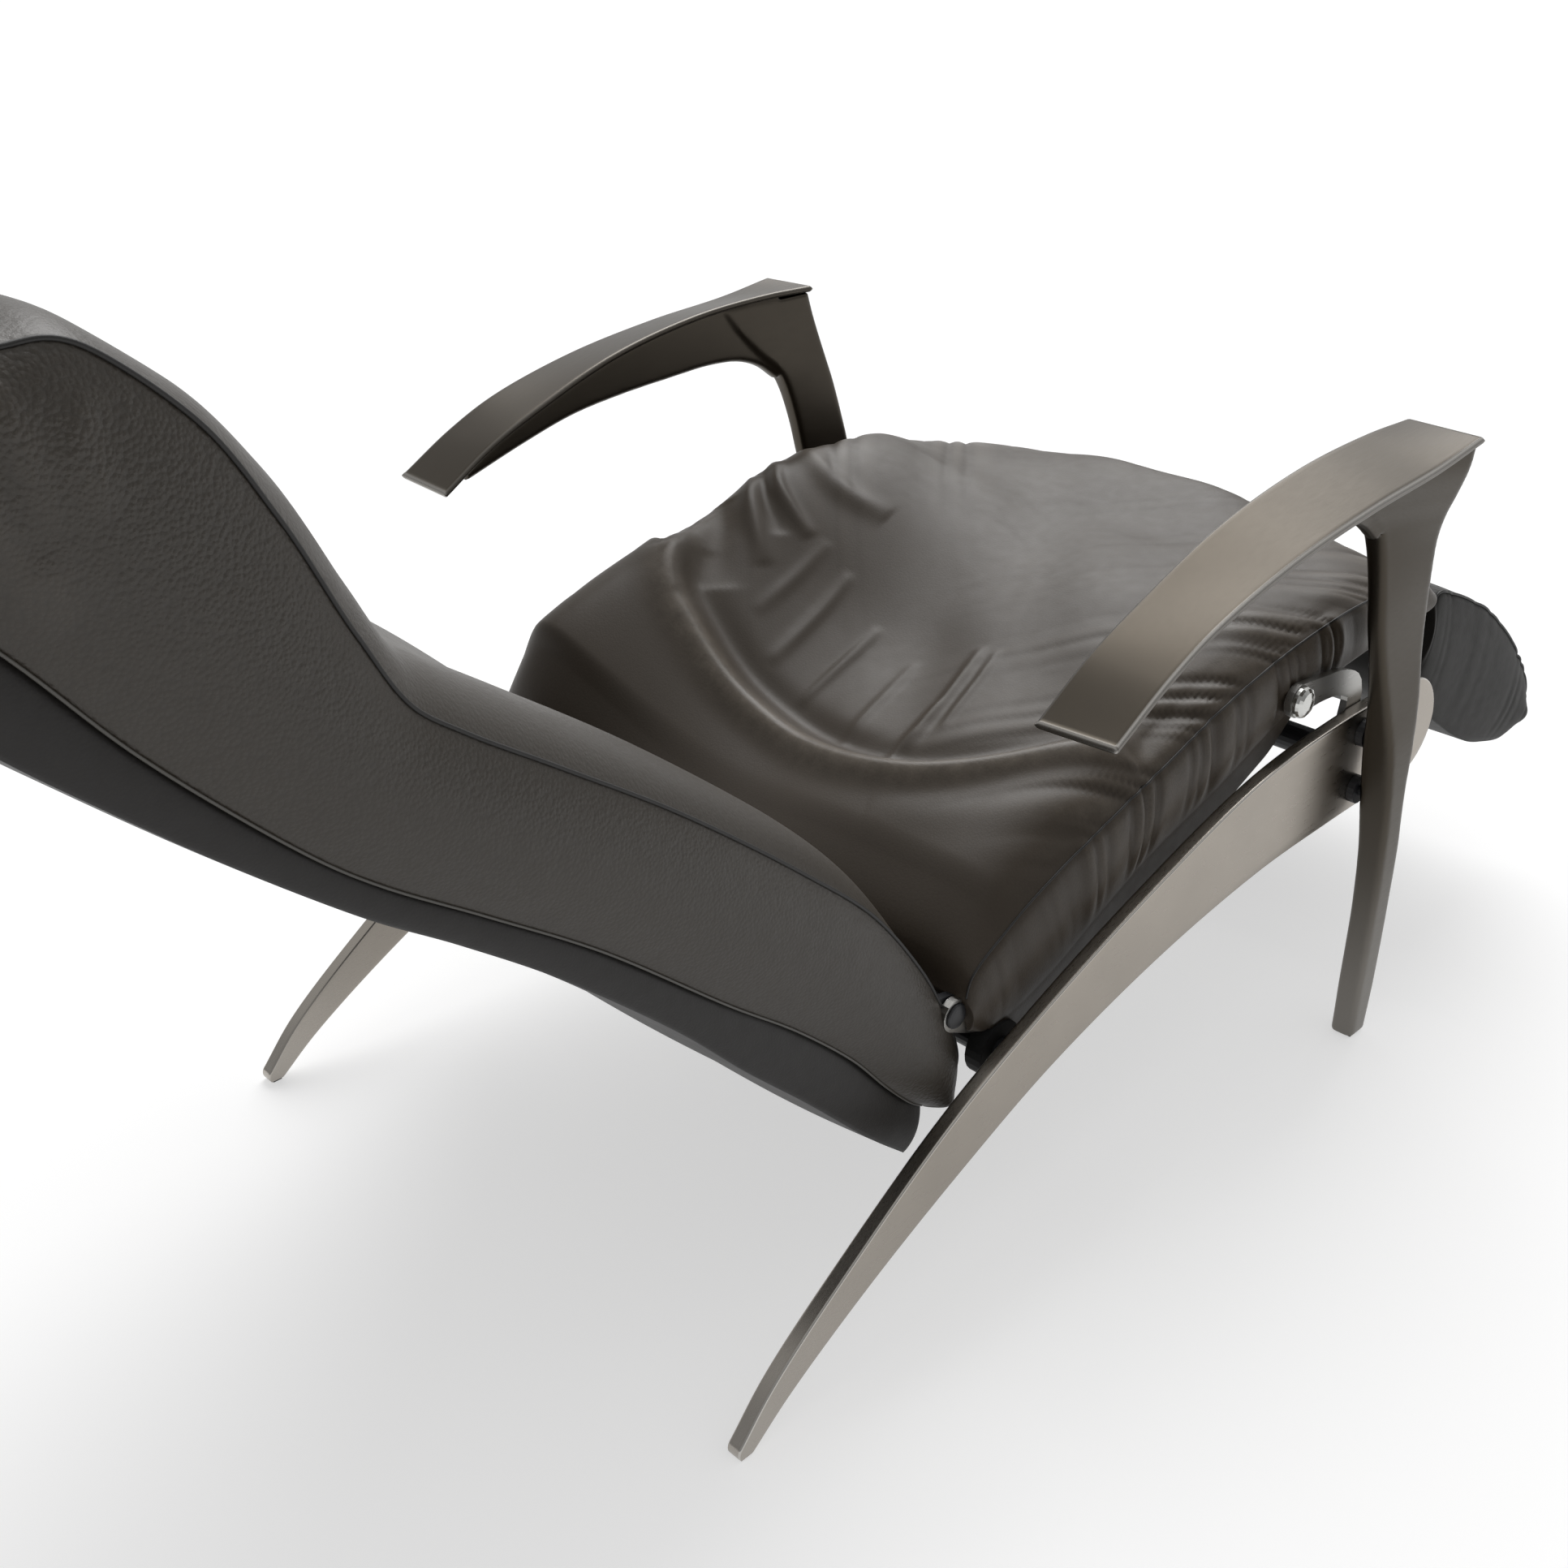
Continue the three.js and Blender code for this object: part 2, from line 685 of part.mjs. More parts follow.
// The rear tube lies so far below the bars that its rubber rings just reach them.
const barOverTube = barAt(hingeAt.x - rearTubeSetback);
const rearTubeAt = new THREE.Vector2(
  barOverTube.x,
  barOverTube.y - barOverTube.z - fitGap - bufferRadius,
);

function sideBarGeometry() {
  const shape = bandShape(barStations, 30);
  addHole(shape, seatPivotAt, pinRadius + fitGap);
  addHole(shape, hingeAt, hingeShaftRadius + fitGap);
  addHole(shape, legrestPivotAt, legrestPinRadius + fitGap);
  return sidePlate(shape, barInnerX, frameBarThickness);
}

function hingeShaftGeometry() {
  const headX = barOuterX + fitGap;
  const right = domeProfile(headX, hingeHeadRadius, hingeHeadHeight);
  const half = [[0, hingeShaftRadius], [headX, hingeShaftRadius], ...right];
  const mirrored = half.slice(1).map(([x, radius]) => [-x, radius]).reverse();
  return turned([...mirrored, ...half.slice(1)], hingeAt, 20);
}

function legrestPinGeometry() {
  const headX = armOfHingeInnerX - fitGap;
  return turned([
    [headX - legrestPinHeadHeight, 0], [headX - legrestPinHeadHeight, legrestPinHeadRadius],
    [headX, legrestPinHeadRadius], [headX, legrestPinRadius], [barOuterX, legrestPinRadius], [barOuterX, 0],
  ], legrestPivotAt, 16);
}

const strapShares = [-0.3, -0.12, 0.09, 0.31, 0.52, 0.885];
function strapGeometry(share) {
  const bar = barAt(seatPlace(share, 0).x);
  const ahead = barAt(seatPlace(share, 0).x + strapThickness);
  const geometry = new THREE.BoxGeometry(2 * (barInnerX - fitGap), strapWidth, strapThickness);
  geometry.translate(0, 0, bar.z - 2 * strapThickness);
  geometry.rotateX(Math.atan2(ahead.y - bar.y, ahead.x - bar.x));
  geometry.translate(0, bar.x, bar.y);
  return welded(geometry);
}

const seatStrutBarAt = barAt(rearTubeAt.x - bufferRadius - lugDepth / 2 - lugThickness);
const seatStrutRearAt = new THREE.Vector2(seatStrutBarAt.x, seatStrutBarAt.y - seatStrutLugDrop);
const backStrutFrontAt = midTubeAt.clone().add(new THREE.Vector2(0, -backStrutDrop));

function seatStrutRearLugGeometry() {
  const top = new THREE.Vector2(seatStrutBarAt.x, seatStrutBarAt.y - frameBarDepth / 5);
  return studLugGeometry(
    top,
    lugDepth / 2,
    seatStrutRearAt,
    seatStrutLug.innerX,
    seatStrutLug.eyeOuterX - strutEyeWidth - runningGap,
  );
}

const backStrutLug = {
  innerX: backStrutX + strutEyeWidth / 2 + runningGap,
  studFromX: backStrutX - strutEyeWidth / 2 - runningGap,
};

function backStrutFrontLugGeometry() {
  return studLugGeometry(
    midTubeAt,
    frameBarDepth / 2,
    backStrutFrontAt,
    backStrutLug.innerX,
    backStrutLug.studFromX,
    seatTubeRadius,
  );
}

// Gas springs: a tube with an open bore, and a rod that slides in it. Both end in an eye.
const strutBarrelShare = 0.6;
const strutBoreShare = 0.12;
const strutRodShare = 0.2;

function alongStrut(profile, from, to) {
  const points = profile.map(([along, radius]) => new THREE.Vector2(radius, along));
  const geometry = new THREE.LatheGeometry(points, 14);
  geometry.rotateX(Math.atan2(to.y - from.y, to.x - from.x));
  geometry.translate(0, from.x, from.y);
  return geometry;
}

function eyeAt(centre, halfWidth) {
  return pinBetween(-halfWidth, halfWidth, strutEyeRadius, centre, 18);
}

function strutTubeGeometry(from, to) {
  const span = from.distanceTo(to);
  const end = span * strutBarrelShare;
  const bore = strutRodRadius + fitGap;
  const barrel = alongStrut([
    [strutEyeRadius / 2, 0], [strutEyeRadius / 2, strutRodRadius], [strutEyeRadius * 2, strutRodRadius],
    [strutEyeRadius * 2, strutRadius], [end, strutRadius], [end, bore],
    [span * strutBoreShare, bore], [span * strutBoreShare, 0],
  ], from, to);
  const hole = pinBetween(-strutEyeWidth, strutEyeWidth, studRadius + fitGap, from, 12);
  return cut(joined(barrel, eyeAt(from, strutEyeWidth / 2)), hole);
}

function strutRodGeometry(from, to) {
  const span = from.distanceTo(to);
  const rod = alongStrut([
    [span * strutRodShare, 0], [span * strutRodShare, strutRodRadius],
    [span - strutEyeRadius / 2, strutRodRadius], [span - strutEyeRadius / 2, 0],
  ], from, to);
  const hole = pinBetween(-strutEyeWidth, strutEyeWidth, studRadius + openStudPlay, to, 12);
  return cut(joined(rod, eyeAt(to, strutEyeWidth / 2)), hole);
}

// Upholstery: each pad is a skin over rings, and each ring lies in the plane through an outer and an inner
// place of the side view.
const faceSteps = 14;
const sideSteps = 4;
const rearSteps = 4;

function padRing({ outer, inner }, halfWidth, sideRound, face, rearFace = () => 0) {
  const rise = outer.clone().sub(inner).normalize();
  const edgeX = halfWidth - sideRound;
  const at = (x, base, lift) => new THREE.Vector3(x, base.x + rise.x * lift, base.y + rise.y * lift);
  const points = [];
  for (let i = 0; i <= faceSteps; i += 1) {
    const u = -Math.cos((Math.PI * i) / faceSteps);
    points.push(at(edgeX * u, outer, face(u)));
  }
  for (let i = 1; i < sideSteps; i += 1) {
    const down = i / sideSteps;
    points.push(at(edgeX + sideRound * Math.sin(Math.PI * down), outer.clone().lerp(inner, down), 0));
  }
  for (let i = 0; i <= rearSteps; i += 1) {
    const u = 1 - (2 * i) / rearSteps;
    points.push(at(edgeX * u, inner, -rearFace(u)));
  }
  for (let i = 1; i < sideSteps; i += 1) {
    const up = i / sideSteps;
    points.push(at(-edgeX - sideRound * Math.sin(Math.PI * up), inner.clone().lerp(outer, up), 0));
  }
  return points;
}

function pairedLines(outerShares, innerShares, place, steps) {
  const line = (shares) => smoothStations(shares.map(([u, v]) => [...place(u, v), 0]), steps)
    .map((point) => new THREE.Vector2(point.x, point.y));
  const outer = line(outerShares);
  const inner = line(innerShares);
  return outer.map((point, i) => ({ outer: point, inner: inner[i], share: i / steps }));
}

// Rises from 0 to 1 between two shares of the length.
function easeBetween(share, from, to) {
  const t = THREE.MathUtils.clamp((share - from) / (to - from), 0, 1);
  return t * t * (3 - 2 * t);
}

function boxOutline(points) {
  return new THREE.Shape(points.map(([y, z]) => new THREE.Vector2(y, z)));
}

// Seat cushion, from the rear to the front, with its top seam and its hem.
const seatTopShares = [
  [0.979, 0.02], [0.953, 0.056], [0.86, 0.082], [0.767, 0.097], [0.599, 0.105], [0.4, 0.108], [0.2, 0.112],
  [0, 0.098], [-0.2, 0.063], [-0.3, 0.036], [-0.42, -0.004], [-0.52, -0.05], [-0.558, -0.1],
];
const seatHemShares = [
  [0.982, -0.05], [0.945, -0.082], [0.867, -0.097], [0.749, -0.094], [0.622, -0.075], [0.45, -0.056],
  [0.227, -0.055], [0.011, -0.045], [-0.192, -0.068], [-0.3, -0.088], [-0.4, -0.108], [-0.497, -0.133],
  [-0.53, -0.141],
];

// The top stands high along its left side and is pressed down along its right, is hollow between them,
// and rolls over the front.
function seatFace(share) {
  const rear = easeBetween(share, 0, 0.22);
  const side = seatCrown * rear * (1 - easeBetween(share, 0.4, 0.95) * 0.9);
  const roll = seatRoll * easeBetween(share, 0.68, 0.96) * (1 - easeBetween(share, 0.92, 1) * 0.93);
  const middle = seatMiddle * rear + roll;
  return (u) => {
    const height = side * (1 - (1 - seatRightSideShare) * easeBetween(-u, -0.2, 0.75));
    return height * (1 - u ** 12) - (height - middle) * (1 - u * u) ** 2;
  };
}

function seatCushionGeometry() {
  const rings = pairedLines(seatTopShares, seatHemShares, seatPlace, 22).map((pair) => (
    padRing(pair, cushionHalfWidth, seatSideRound, seatFace(pair.share))
  ));
  const roof = barLine.map((point, i, line) => {
    const before = line[Math.max(i - 1, 0)];
    const after = line[Math.min(i + 1, line.length - 1)];
    const along = new THREE.Vector2(after.x - before.x, after.y - before.y).normalize();
    const lift = point.z + runningGap;
    return [point.x - along.y * lift, point.y + along.x * lift];
  });
  const [front, rear] = [roof[0], roof.at(-1)];
  const floorZ = Math.min(front[1], rear[1]) - seatSpan / 2;
  const recess = sidePlate(boxOutline([
    [front[0] - cutOverrun, front[1]], ...roof, [hingeAt.x + cutOverrun, rear[1]],
    [hingeAt.x + cutOverrun, floorZ], [front[0] - cutOverrun, floorZ],
  ]), -barOuterX - runningGap, 2 * (barOuterX + runningGap));
  const reach = cushionHalfWidth + cutOverrun;
  return cut(
    loft(rings),
    recess,
    plainTube(seatPivotAt, pinRadius + 2 * runningGap, reach, 16),
    plainTube(hingeAt, hingeLugDepth / 2 + 3 * runningGap, reach, 20),
  );
}

function buildSeat() {
  addPair('seat_side_bar', sideBarGeometry(), bareAluminium);
  addMesh('seat_front_tube', plainTube(frontSeatTubeAt, seatTubeRadius, barInnerX - fitGap, 16), darkSteel);
  addMesh('seat_mid_tube', plainTube(midTubeAt, seatTubeRadius, barInnerX - fitGap, 16), darkSteel);
  addMesh('back_hinge_shaft', hingeShaftGeometry(), brightSteel);
  addPair('legrest_pin', legrestPinGeometry(), brightSteel);
  strapShares.forEach((share, i) => addMesh(`seat_strap_${i + 1}`, strapGeometry(share), webbing));
  addMesh('seat_cushion', seatCushionGeometry(), leather);
  addMesh('seat_strut_rear_lug', seatStrutRearLugGeometry(), darkSteel);
  addMesh('back_strut_front_lug', backStrutFrontLugGeometry(), darkSteel);
}

// Back, from the nose at the seat up to the head, with its front and its rear seam.
const onBack = sideFrame(hingeAt, 90 - backLean);
const backPlace = (u, v) => onBack(backLength * u, backDepth * v);
const backFrontShares = [
  [-0.061, -0.264], [-0.042, -0.124], [0.009, -0.011], [0.073, 0.076], [0.162, 0.126], [0.262, 0.082],
  [0.405, -0.024], [0.519, -0.148], [0.598, -0.238], [0.635, -0.264], [0.691, -0.191], [0.77, -0.051],
  [0.834, 0.022], [0.893, -0.001], [0.927, -0.138], [0.95, -0.318],
];
const backRearShares = [
  [-0.039, -0.418], [-0.019, -0.439], [0.024, -0.441], [0.086, -0.424], [0.168, -0.448], [0.256, -0.51],
  [0.398, -0.588], [0.504, -0.69], [0.586, -0.775], [0.628, -0.8], [0.689, -0.807], [0.763, -0.795],
  [0.834, -0.751], [0.887, -0.724], [0.919, -0.664], [0.94, -0.558],
];
const shellRearShares = [
  [-0.06, -0.651], [-0.006, -0.674], [0.097, -0.681], [0.191, -0.698], [0.276, -0.698], [0.412, -0.748],
  [0.504, -0.818], [0.58, -0.891], [0.677, -0.944], [0.753, -0.968], [0.819, -0.978], [0.881, -0.958],
  [0.928, -0.878], [0.958, -0.718],
];
const uprightShares = [
  [0, 0], [0.045, -0.16], [0.12, -0.3], [0.256, -0.41], [0.398, -0.49], [0.504, -0.59], [0.628, -0.69],
  [0.763, -0.69], [0.86, -0.64],
];
const backStations = uprightShares.map(([u, v], i) => {
  const { x, y } = backPlace(u, v);
  return [x, y, (i === 0 ? hingeLugDepth : uprightDepth) / 2];
});
const backTubeStations = [2, 4, 7];
const backTubesAt = backTubeStations.map((i) => new THREE.Vector2(backStations[i][0], backStations[i][1]));

function uprightGeometry() {
  const shape = bandShape(backStations, 22);
  addHole(shape, hingeAt, hingeShaftRadius + fitGap);
  return sidePlate(shape, armOfHingeInnerX, uprightThickness);
}

const leverTurn = THREE.MathUtils.degToRad(backLeverAngle);
const backStrutRearAt = hingeAt.clone().add(
  new THREE.Vector2(Math.cos(leverTurn), Math.sin(leverTurn)).multiplyScalar(backLeverLength),
);
const leverPlaces = [backTubesAt[0], hingeAt, backStrutRearAt];

function backLeverGeometry() {
  const half = hingeLugDepth / 2;
  const upper = bandShape([[...backTubesAt[0], half], [...hingeAt, half]], 4);
  const lower = bandShape([[...hingeAt, half], [...backStrutRearAt, lugDepth / 2]], 4);
  const plates = [upper, lower].map((shape) => sidePlate(shape, backStrutLug.innerX, lugThickness));
  const stud = pinBetween(
    backStrutLug.studFromX,
    backStrutLug.innerX + lugThickness / 2,
    studRadius,
    backStrutRearAt,
    12,
  );
  return cut(
    joined(...plates, stud),
    plainTube(hingeAt, hingeShaftRadius + fitGap, barInnerX, 16),
    plainTube(backTubesAt[0], backTubeRadius + fitGap, barInnerX, 16),
  );
}

// Room in the pad for the frame that it covers.
function backFrameRoom() {
  const upright = bandShape(backStations, 22, -Infinity, runningGap);
  const side = sidePlate(upright, armOfHingeInnerX - fitGap, uprightThickness + 2 * fitGap);
  const otherSide = side.clone().scale(-1, 1, 1);
  const leverHalf = hingeLugDepth / 2 + runningGap;
  const levers = [backTubesAt[0], backStrutRearAt].map((at) => sidePlate(
    bandShape([[...at, leverHalf], [...hingeAt, leverHalf]], 4, -Infinity, 0, 6),
    backStrutX - strutEyeWidth - runningGap,
    backStrutLug.innerX + lugThickness + runningGap - (backStrutX - strutEyeWidth - runningGap),
  ));
  const tubes = backTubesAt.map((at) => (
    plainTube(at, backTubeRadius + fitGap, armOfHingeInnerX + fitGap / 2, 14)
  ));
  const hinge = plainTube(hingeAt, hingeLugDepth / 2 + 3 * runningGap, backHalfWidth + cutOverrun, 20);
  return [side, otherSide, ...levers, ...tubes, hinge];
}

function backFace(share) {
  const rise = easeBetween(share, 0.12, 0.34);
  const upper = 1 - easeBetween(share, 0.68, 0.86) * 0.6;
  const crown = backCrown * rise * upper * (1 - easeBetween(share, 0.93, 1) * 0.6);
  const dish = backDish * rise * (1 - easeBetween(share, 0.93, 1) * 0.6);
  return (u) => crown * (1 - u ** 12) - dish * (1 - u * u) ** 2;
}

function backPadGeometry() {
  const rings = pairedLines(backFrontShares, backRearShares, backPlace, 26).map((pair) => (
    padRing(pair, backHalfWidth, backSideRound, backFace(pair.share))
  ));
  return cut(loft(rings), ...backFrameRoom());
}

// The depth of the pad's rear seam at a share of the back's length.
function rearSeamAt(share) {
  const index = Math.max(backRearShares.findIndex(([u]) => u >= share), 1);
  const last = backRearShares.at(-1);
  if (share >= last[0]) return last[1];
  const [before, after] = [backRearShares[index - 1], backRearShares[index]];
  const t = THREE.MathUtils.clamp((share - before[0]) / (after[0] - before[0]), 0, 1);
  return before[1] + (after[1] - before[1]) * t;
}

const shellEndShare = 0.936;
function backShellGeometry() {
  const gapShare = (2 * fitGap) / backDepth;
  const seamShares = shellRearShares.map(([u]) => {
    const share = THREE.MathUtils.clamp(u, backRearShares[0][0], shellEndShare);
    return [share, rearSeamAt(share) - gapShare];
  });
  const rings = pairedLines(seamShares, shellRearShares, backPlace, 20).map((pair) => {
    const ends = easeBetween(pair.share, 0, 0.1) * (1 - easeBetween(pair.share, 0.9, 1));
    return padRing(pair, shellHalfWidth, shellSideRound, () => 0, (u) => shellCrown * ends * (1 - u ** 4));
  });
  const pad = loft(pairedLines(backFrontShares, backRearShares, backPlace, 26).map((pair) => (
    padRing(pair, backHalfWidth + cutOverrun, backSideRound, () => 0, () => fitGap)
  )));
  return cut(loft(rings), pad);
}

function buildBack() {
  addPair('back_upright', uprightGeometry(), darkSteel);
  backTubesAt.forEach((at, i) => {
    const tube = plainTube(at, backTubeRadius, armOfHingeInnerX - fitGap, 14);
    addMesh(`back_tube_${i + 1}`, tube, darkSteel);
  });
  addMesh('back_lever', backLeverGeometry(), darkSteel);
  addMesh('back_shell', backShellGeometry(), shellLeather);
  addMesh('back_pad', backPadGeometry(), leather);
}

// Leg rest, from its hinge to its tip, with its upper and its lower side.
const onLegrest = sideFrame(legrestPivotAt, 180 + legrestLean);
const legrestPlace = (u, v) => onLegrest(legrestLength * u, -legrestDepth * v);
const legrestTopShares = [
  [0.043, 0.161], [0.051, 0.28], [0.14, 0.336], [0.387, 0.472], [0.604, 0.471], [0.776, 0.393],
  [0.901, 0.285], [0.973, 0.123],
];
const legrestUnderShares = [
  [0.135, -0.38], [0.193, -0.54], [0.302, -0.645], [0.481, -0.655], [0.658, -0.615], [0.797, -0.49],
  [0.901, -0.355], [0.971, -0.14],
];
const legrestArmShares = [[0, 0], [0.213, 0.005], [0.583, 0.005], [0.835, 0.038]];
const legrestTubeShares = [0.25, 0.7];
const legrestTubesAt = legrestTubeShares.map((share) => legrestPlace(share, 0.01));
const legrestStations = legrestArmShares.map(([u, v]) => {
  const { x, y } = legrestPlace(u, v);
  return [x, y, legrestArmDepth / 2];
});

function legrestArmGeometry() {
  const shape = bandShape(legrestStations, 12);
  addHole(shape, legrestPivotAt, legrestPinRadius + fitGap);
  return sidePlate(shape, armOfHingeInnerX, uprightThickness);
}

function legrestPadGeometry() {
  const rings = pairedLines(legrestTopShares, legrestUnderShares, legrestPlace, 14).map((pair) => {
    const ends = easeBetween(pair.share, 0, 0.3) * (1 - easeBetween(pair.share, 0.75, 1));
    return padRing(pair, legrestHalfWidth, legrestSideRound, (u) => legrestCrown * ends * (1 - u ** 6));
  });
  const arm = bandShape(legrestStations, 12, -Infinity, runningGap);
  const room = sidePlate(arm, armOfHingeInnerX - fitGap, uprightThickness + 2 * fitGap);
  const tubes = legrestTubesAt.map((at) => (
    plainTube(at, legrestTubeRadius + fitGap, armOfHingeInnerX + fitGap / 2, 14)
  ));
  return cut(loft(rings), room, room.clone().scale(-1, 1, 1), ...tubes);
}

function buildLegrest() {
  addPair('legrest_arm', legrestArmGeometry(), darkSteel);
  legrestTubesAt.forEach((at, i) => {
    const tube = plainTube(at, legrestTubeRadius, armOfHingeInnerX - fitGap, 14);
    addMesh(`legrest_tube_${i + 1}`, tube, darkSteel);
  });
  addMesh('legrest_pad', legrestPadGeometry(), leather);
}

function buildStruts() {
  const seatStrutX = seatStrutLug.eyeOuterX - strutEyeWidth / 2;
  const shifted = (geometry, x) => geometry.translate(x, 0, 0);
  const seatPair = [seatStrutFrontAt, seatStrutRearAt];
  const backPair = [backStrutFrontAt, backStrutRearAt];
  addMesh('seat_strut_tube', shifted(strutTubeGeometry(...seatPair), seatStrutX), darkSteel);
  addMesh('seat_strut_rod', shifted(strutRodGeometry(...seatPair), seatStrutX), brightSteel);
  addMesh('back_strut_tube', shifted(strutTubeGeometry(...backPair), backStrutX), darkSteel);
  addMesh('back_strut_rod', shifted(strutRodGeometry(...backPair), backStrutX), brightSteel);
}

buildBase();
buildSeat();
buildBack();
buildLegrest();
buildStruts();

// The origin is under the middle of the chair, on the floor.
const reach = new THREE.Box3().setFromObject(chair);
chair.position.y = -(reach.min.y + reach.max.y) / 2;

export default chair;
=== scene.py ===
"""Reclining leather lounge chair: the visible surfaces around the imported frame.

Every length is in metres unless its name ends in _mm. A side view is the plane of Y and Z. The chair is the
same on both sides of the plane X = 0, apart from the seat's leather and seams and the two struts with
their lugs and lever.
"""

import json
import logging
import math
from dataclasses import dataclass, field
from enum import Enum
from typing import Callable, Optional, Sequence

import bmesh
import bpy
import numpy as np
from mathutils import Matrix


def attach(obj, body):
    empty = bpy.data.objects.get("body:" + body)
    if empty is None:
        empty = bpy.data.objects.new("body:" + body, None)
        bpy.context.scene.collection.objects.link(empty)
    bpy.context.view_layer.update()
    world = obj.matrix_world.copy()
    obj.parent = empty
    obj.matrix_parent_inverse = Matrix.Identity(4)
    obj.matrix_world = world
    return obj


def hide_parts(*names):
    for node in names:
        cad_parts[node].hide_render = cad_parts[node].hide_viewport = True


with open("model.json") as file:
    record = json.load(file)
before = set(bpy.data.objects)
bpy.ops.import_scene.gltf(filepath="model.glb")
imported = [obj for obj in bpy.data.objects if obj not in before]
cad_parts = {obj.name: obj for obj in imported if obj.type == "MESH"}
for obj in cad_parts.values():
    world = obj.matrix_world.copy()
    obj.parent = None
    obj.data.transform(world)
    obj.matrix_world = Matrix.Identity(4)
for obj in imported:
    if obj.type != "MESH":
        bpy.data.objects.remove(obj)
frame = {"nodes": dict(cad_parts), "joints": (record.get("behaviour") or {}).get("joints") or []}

LOG = logging.getLogger("lounge_chair")
MM = 0.001
SIDES = (("left", 1.0), ("right", -1.0))


# ---------------------------------------------------------------------------------------------- lines and grids


def joint_place(name: str) -> np.ndarray:
    """Gives the (y, z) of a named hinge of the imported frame.

    Args:
        name: the hinge's name.

    Returns:
        Its place on the side view.
    """
    joint = next(j for j in frame["joints"] if j["name"] == name)
    return np.array(joint["pos_m"][1:], float)


SEAT_PIVOT = joint_place("seat_tilt")
HINGE = joint_place("back_recline")
LEGREST_PIVOT = joint_place("legrest_swing")


def smooth_line(points: np.ndarray, steps: int) -> np.ndarray:
    """Passes a smooth line through points.

    Each span is a cubic whose end slopes come from its neighbours, with the parameter spread by the root of
    the distance between points, so that close points make no loops.

    Args:
        points: (n, d) points in order.
        steps: how many equal steps of the parameter to take over the whole line.

    Returns:
        (steps + 1, d) points on the line.
    """
    pts = np.asarray(points, float)
    ext = np.vstack([2 * pts[0] - pts[1], pts, 2 * pts[-1] - pts[-2]])
    t = np.linspace(0, len(pts) - 1, steps + 1)
    k = np.minimum(t.astype(int), len(pts) - 2)
    w = (t - k)[:, None]
    p0, p1, p2, p3 = (ext[k + i] for i in range(4))
    root = [np.maximum(np.sum((b - a) ** 2, 1) ** 0.25, 1e-9)[:, None] for a, b in ((p0, p1), (p1, p2), (p2, p3))]
    d0, d1, d2 = root
    m1 = ((p1 - p0) / d0 - (p2 - p0) / (d0 + d1) + (p2 - p1) / d1) * d1
    m2 = ((p2 - p1) / d1 - (p3 - p1) / (d1 + d2) + (p3 - p2) / d2) * d1
    return p1 + w * (m1 + w * (-3 * p1 + 3 * p2 - 2 * m1 - m2 + w * (2 * p1 - 2 * p2 + m1 + m2)))


@dataclass(frozen=True)
class SideFrame:
    """A frame of reference on the side view: an origin, a direction along it and one across it."""

    origin: np.ndarray
    degrees: float
    length: float = 1.0
    depth: float = 1.0

    def place(self, shares: Sequence[Sequence[float]]) -> np.ndarray:
        """Turns shares of the length and depth into (y, z) places.

        Args:
            shares: pairs of (share of the length, share of the depth).

        Returns:
            (n, 2) places.
        """
        uv = np.asarray(shares, float)
        turn = math.radians(self.degrees)
        along = np.array([math.cos(turn), math.sin(turn)])
        across = np.array([-along[1], along[0]])
        return self.origin + uv[:, :1] * self.length * along + uv[:, 1:2] * self.depth * across


SEAT_SPAN = float(np.linalg.norm(HINGE - SEAT_PIVOT))
SEAT_TURN = math.degrees(math.atan2(*(HINGE - SEAT_PIVOT)[::-1]))
SEAT = SideFrame(SEAT_PIVOT, SEAT_TURN, SEAT_SPAN, SEAT_SPAN)

BACK_LEAN_DEGREES = 43.3
"""How far the back leans from upright at rest."""

LEGREST_DROP_DEGREES = 35
"""How far the leg rest slopes down towards the front at rest."""

BACK = SideFrame(HINGE, 90 - BACK_LEAN_DEGREES, length=0.848, depth=0.150)
LEGREST = SideFrame(LEGREST_PIVOT, 180 + LEGREST_DROP_DEGREES, length=0.338, depth=-0.100)


def ease(value: np.ndarray, start: float, end: float) -> np.ndarray:
    """Rises smoothly from 0 at start to 1 at end, as 3t² - 2t³."""
    t = np.clip((np.asarray(value, float) - start) / (end - start), 0, 1)
    return t * t * (3 - 2 * t)


def bell(value: np.ndarray, width: float) -> np.ndarray:
    """A round hump of height 1 at 0, as exp(-(value / width)²)."""
    return np.exp(-((np.asarray(value, float) / width) ** 2))


def grid_faces(rows: int, columns: int) -> np.ndarray:
    """Lists the four-sided faces of a grid of points whose last column meets its first.

    Args:
        rows: how many rows of points.
        columns: how many points in a row.

    Returns:
        (n, 4) numbers of points.
    """
    i = np.arange(rows - 1)[:, None] * columns
    j = np.arange(columns)[None, :]
    k = (j + 1) % columns
    return np.stack([i + j, i + k, i + columns + k, i + columns + j], -1).reshape(-1, 4)


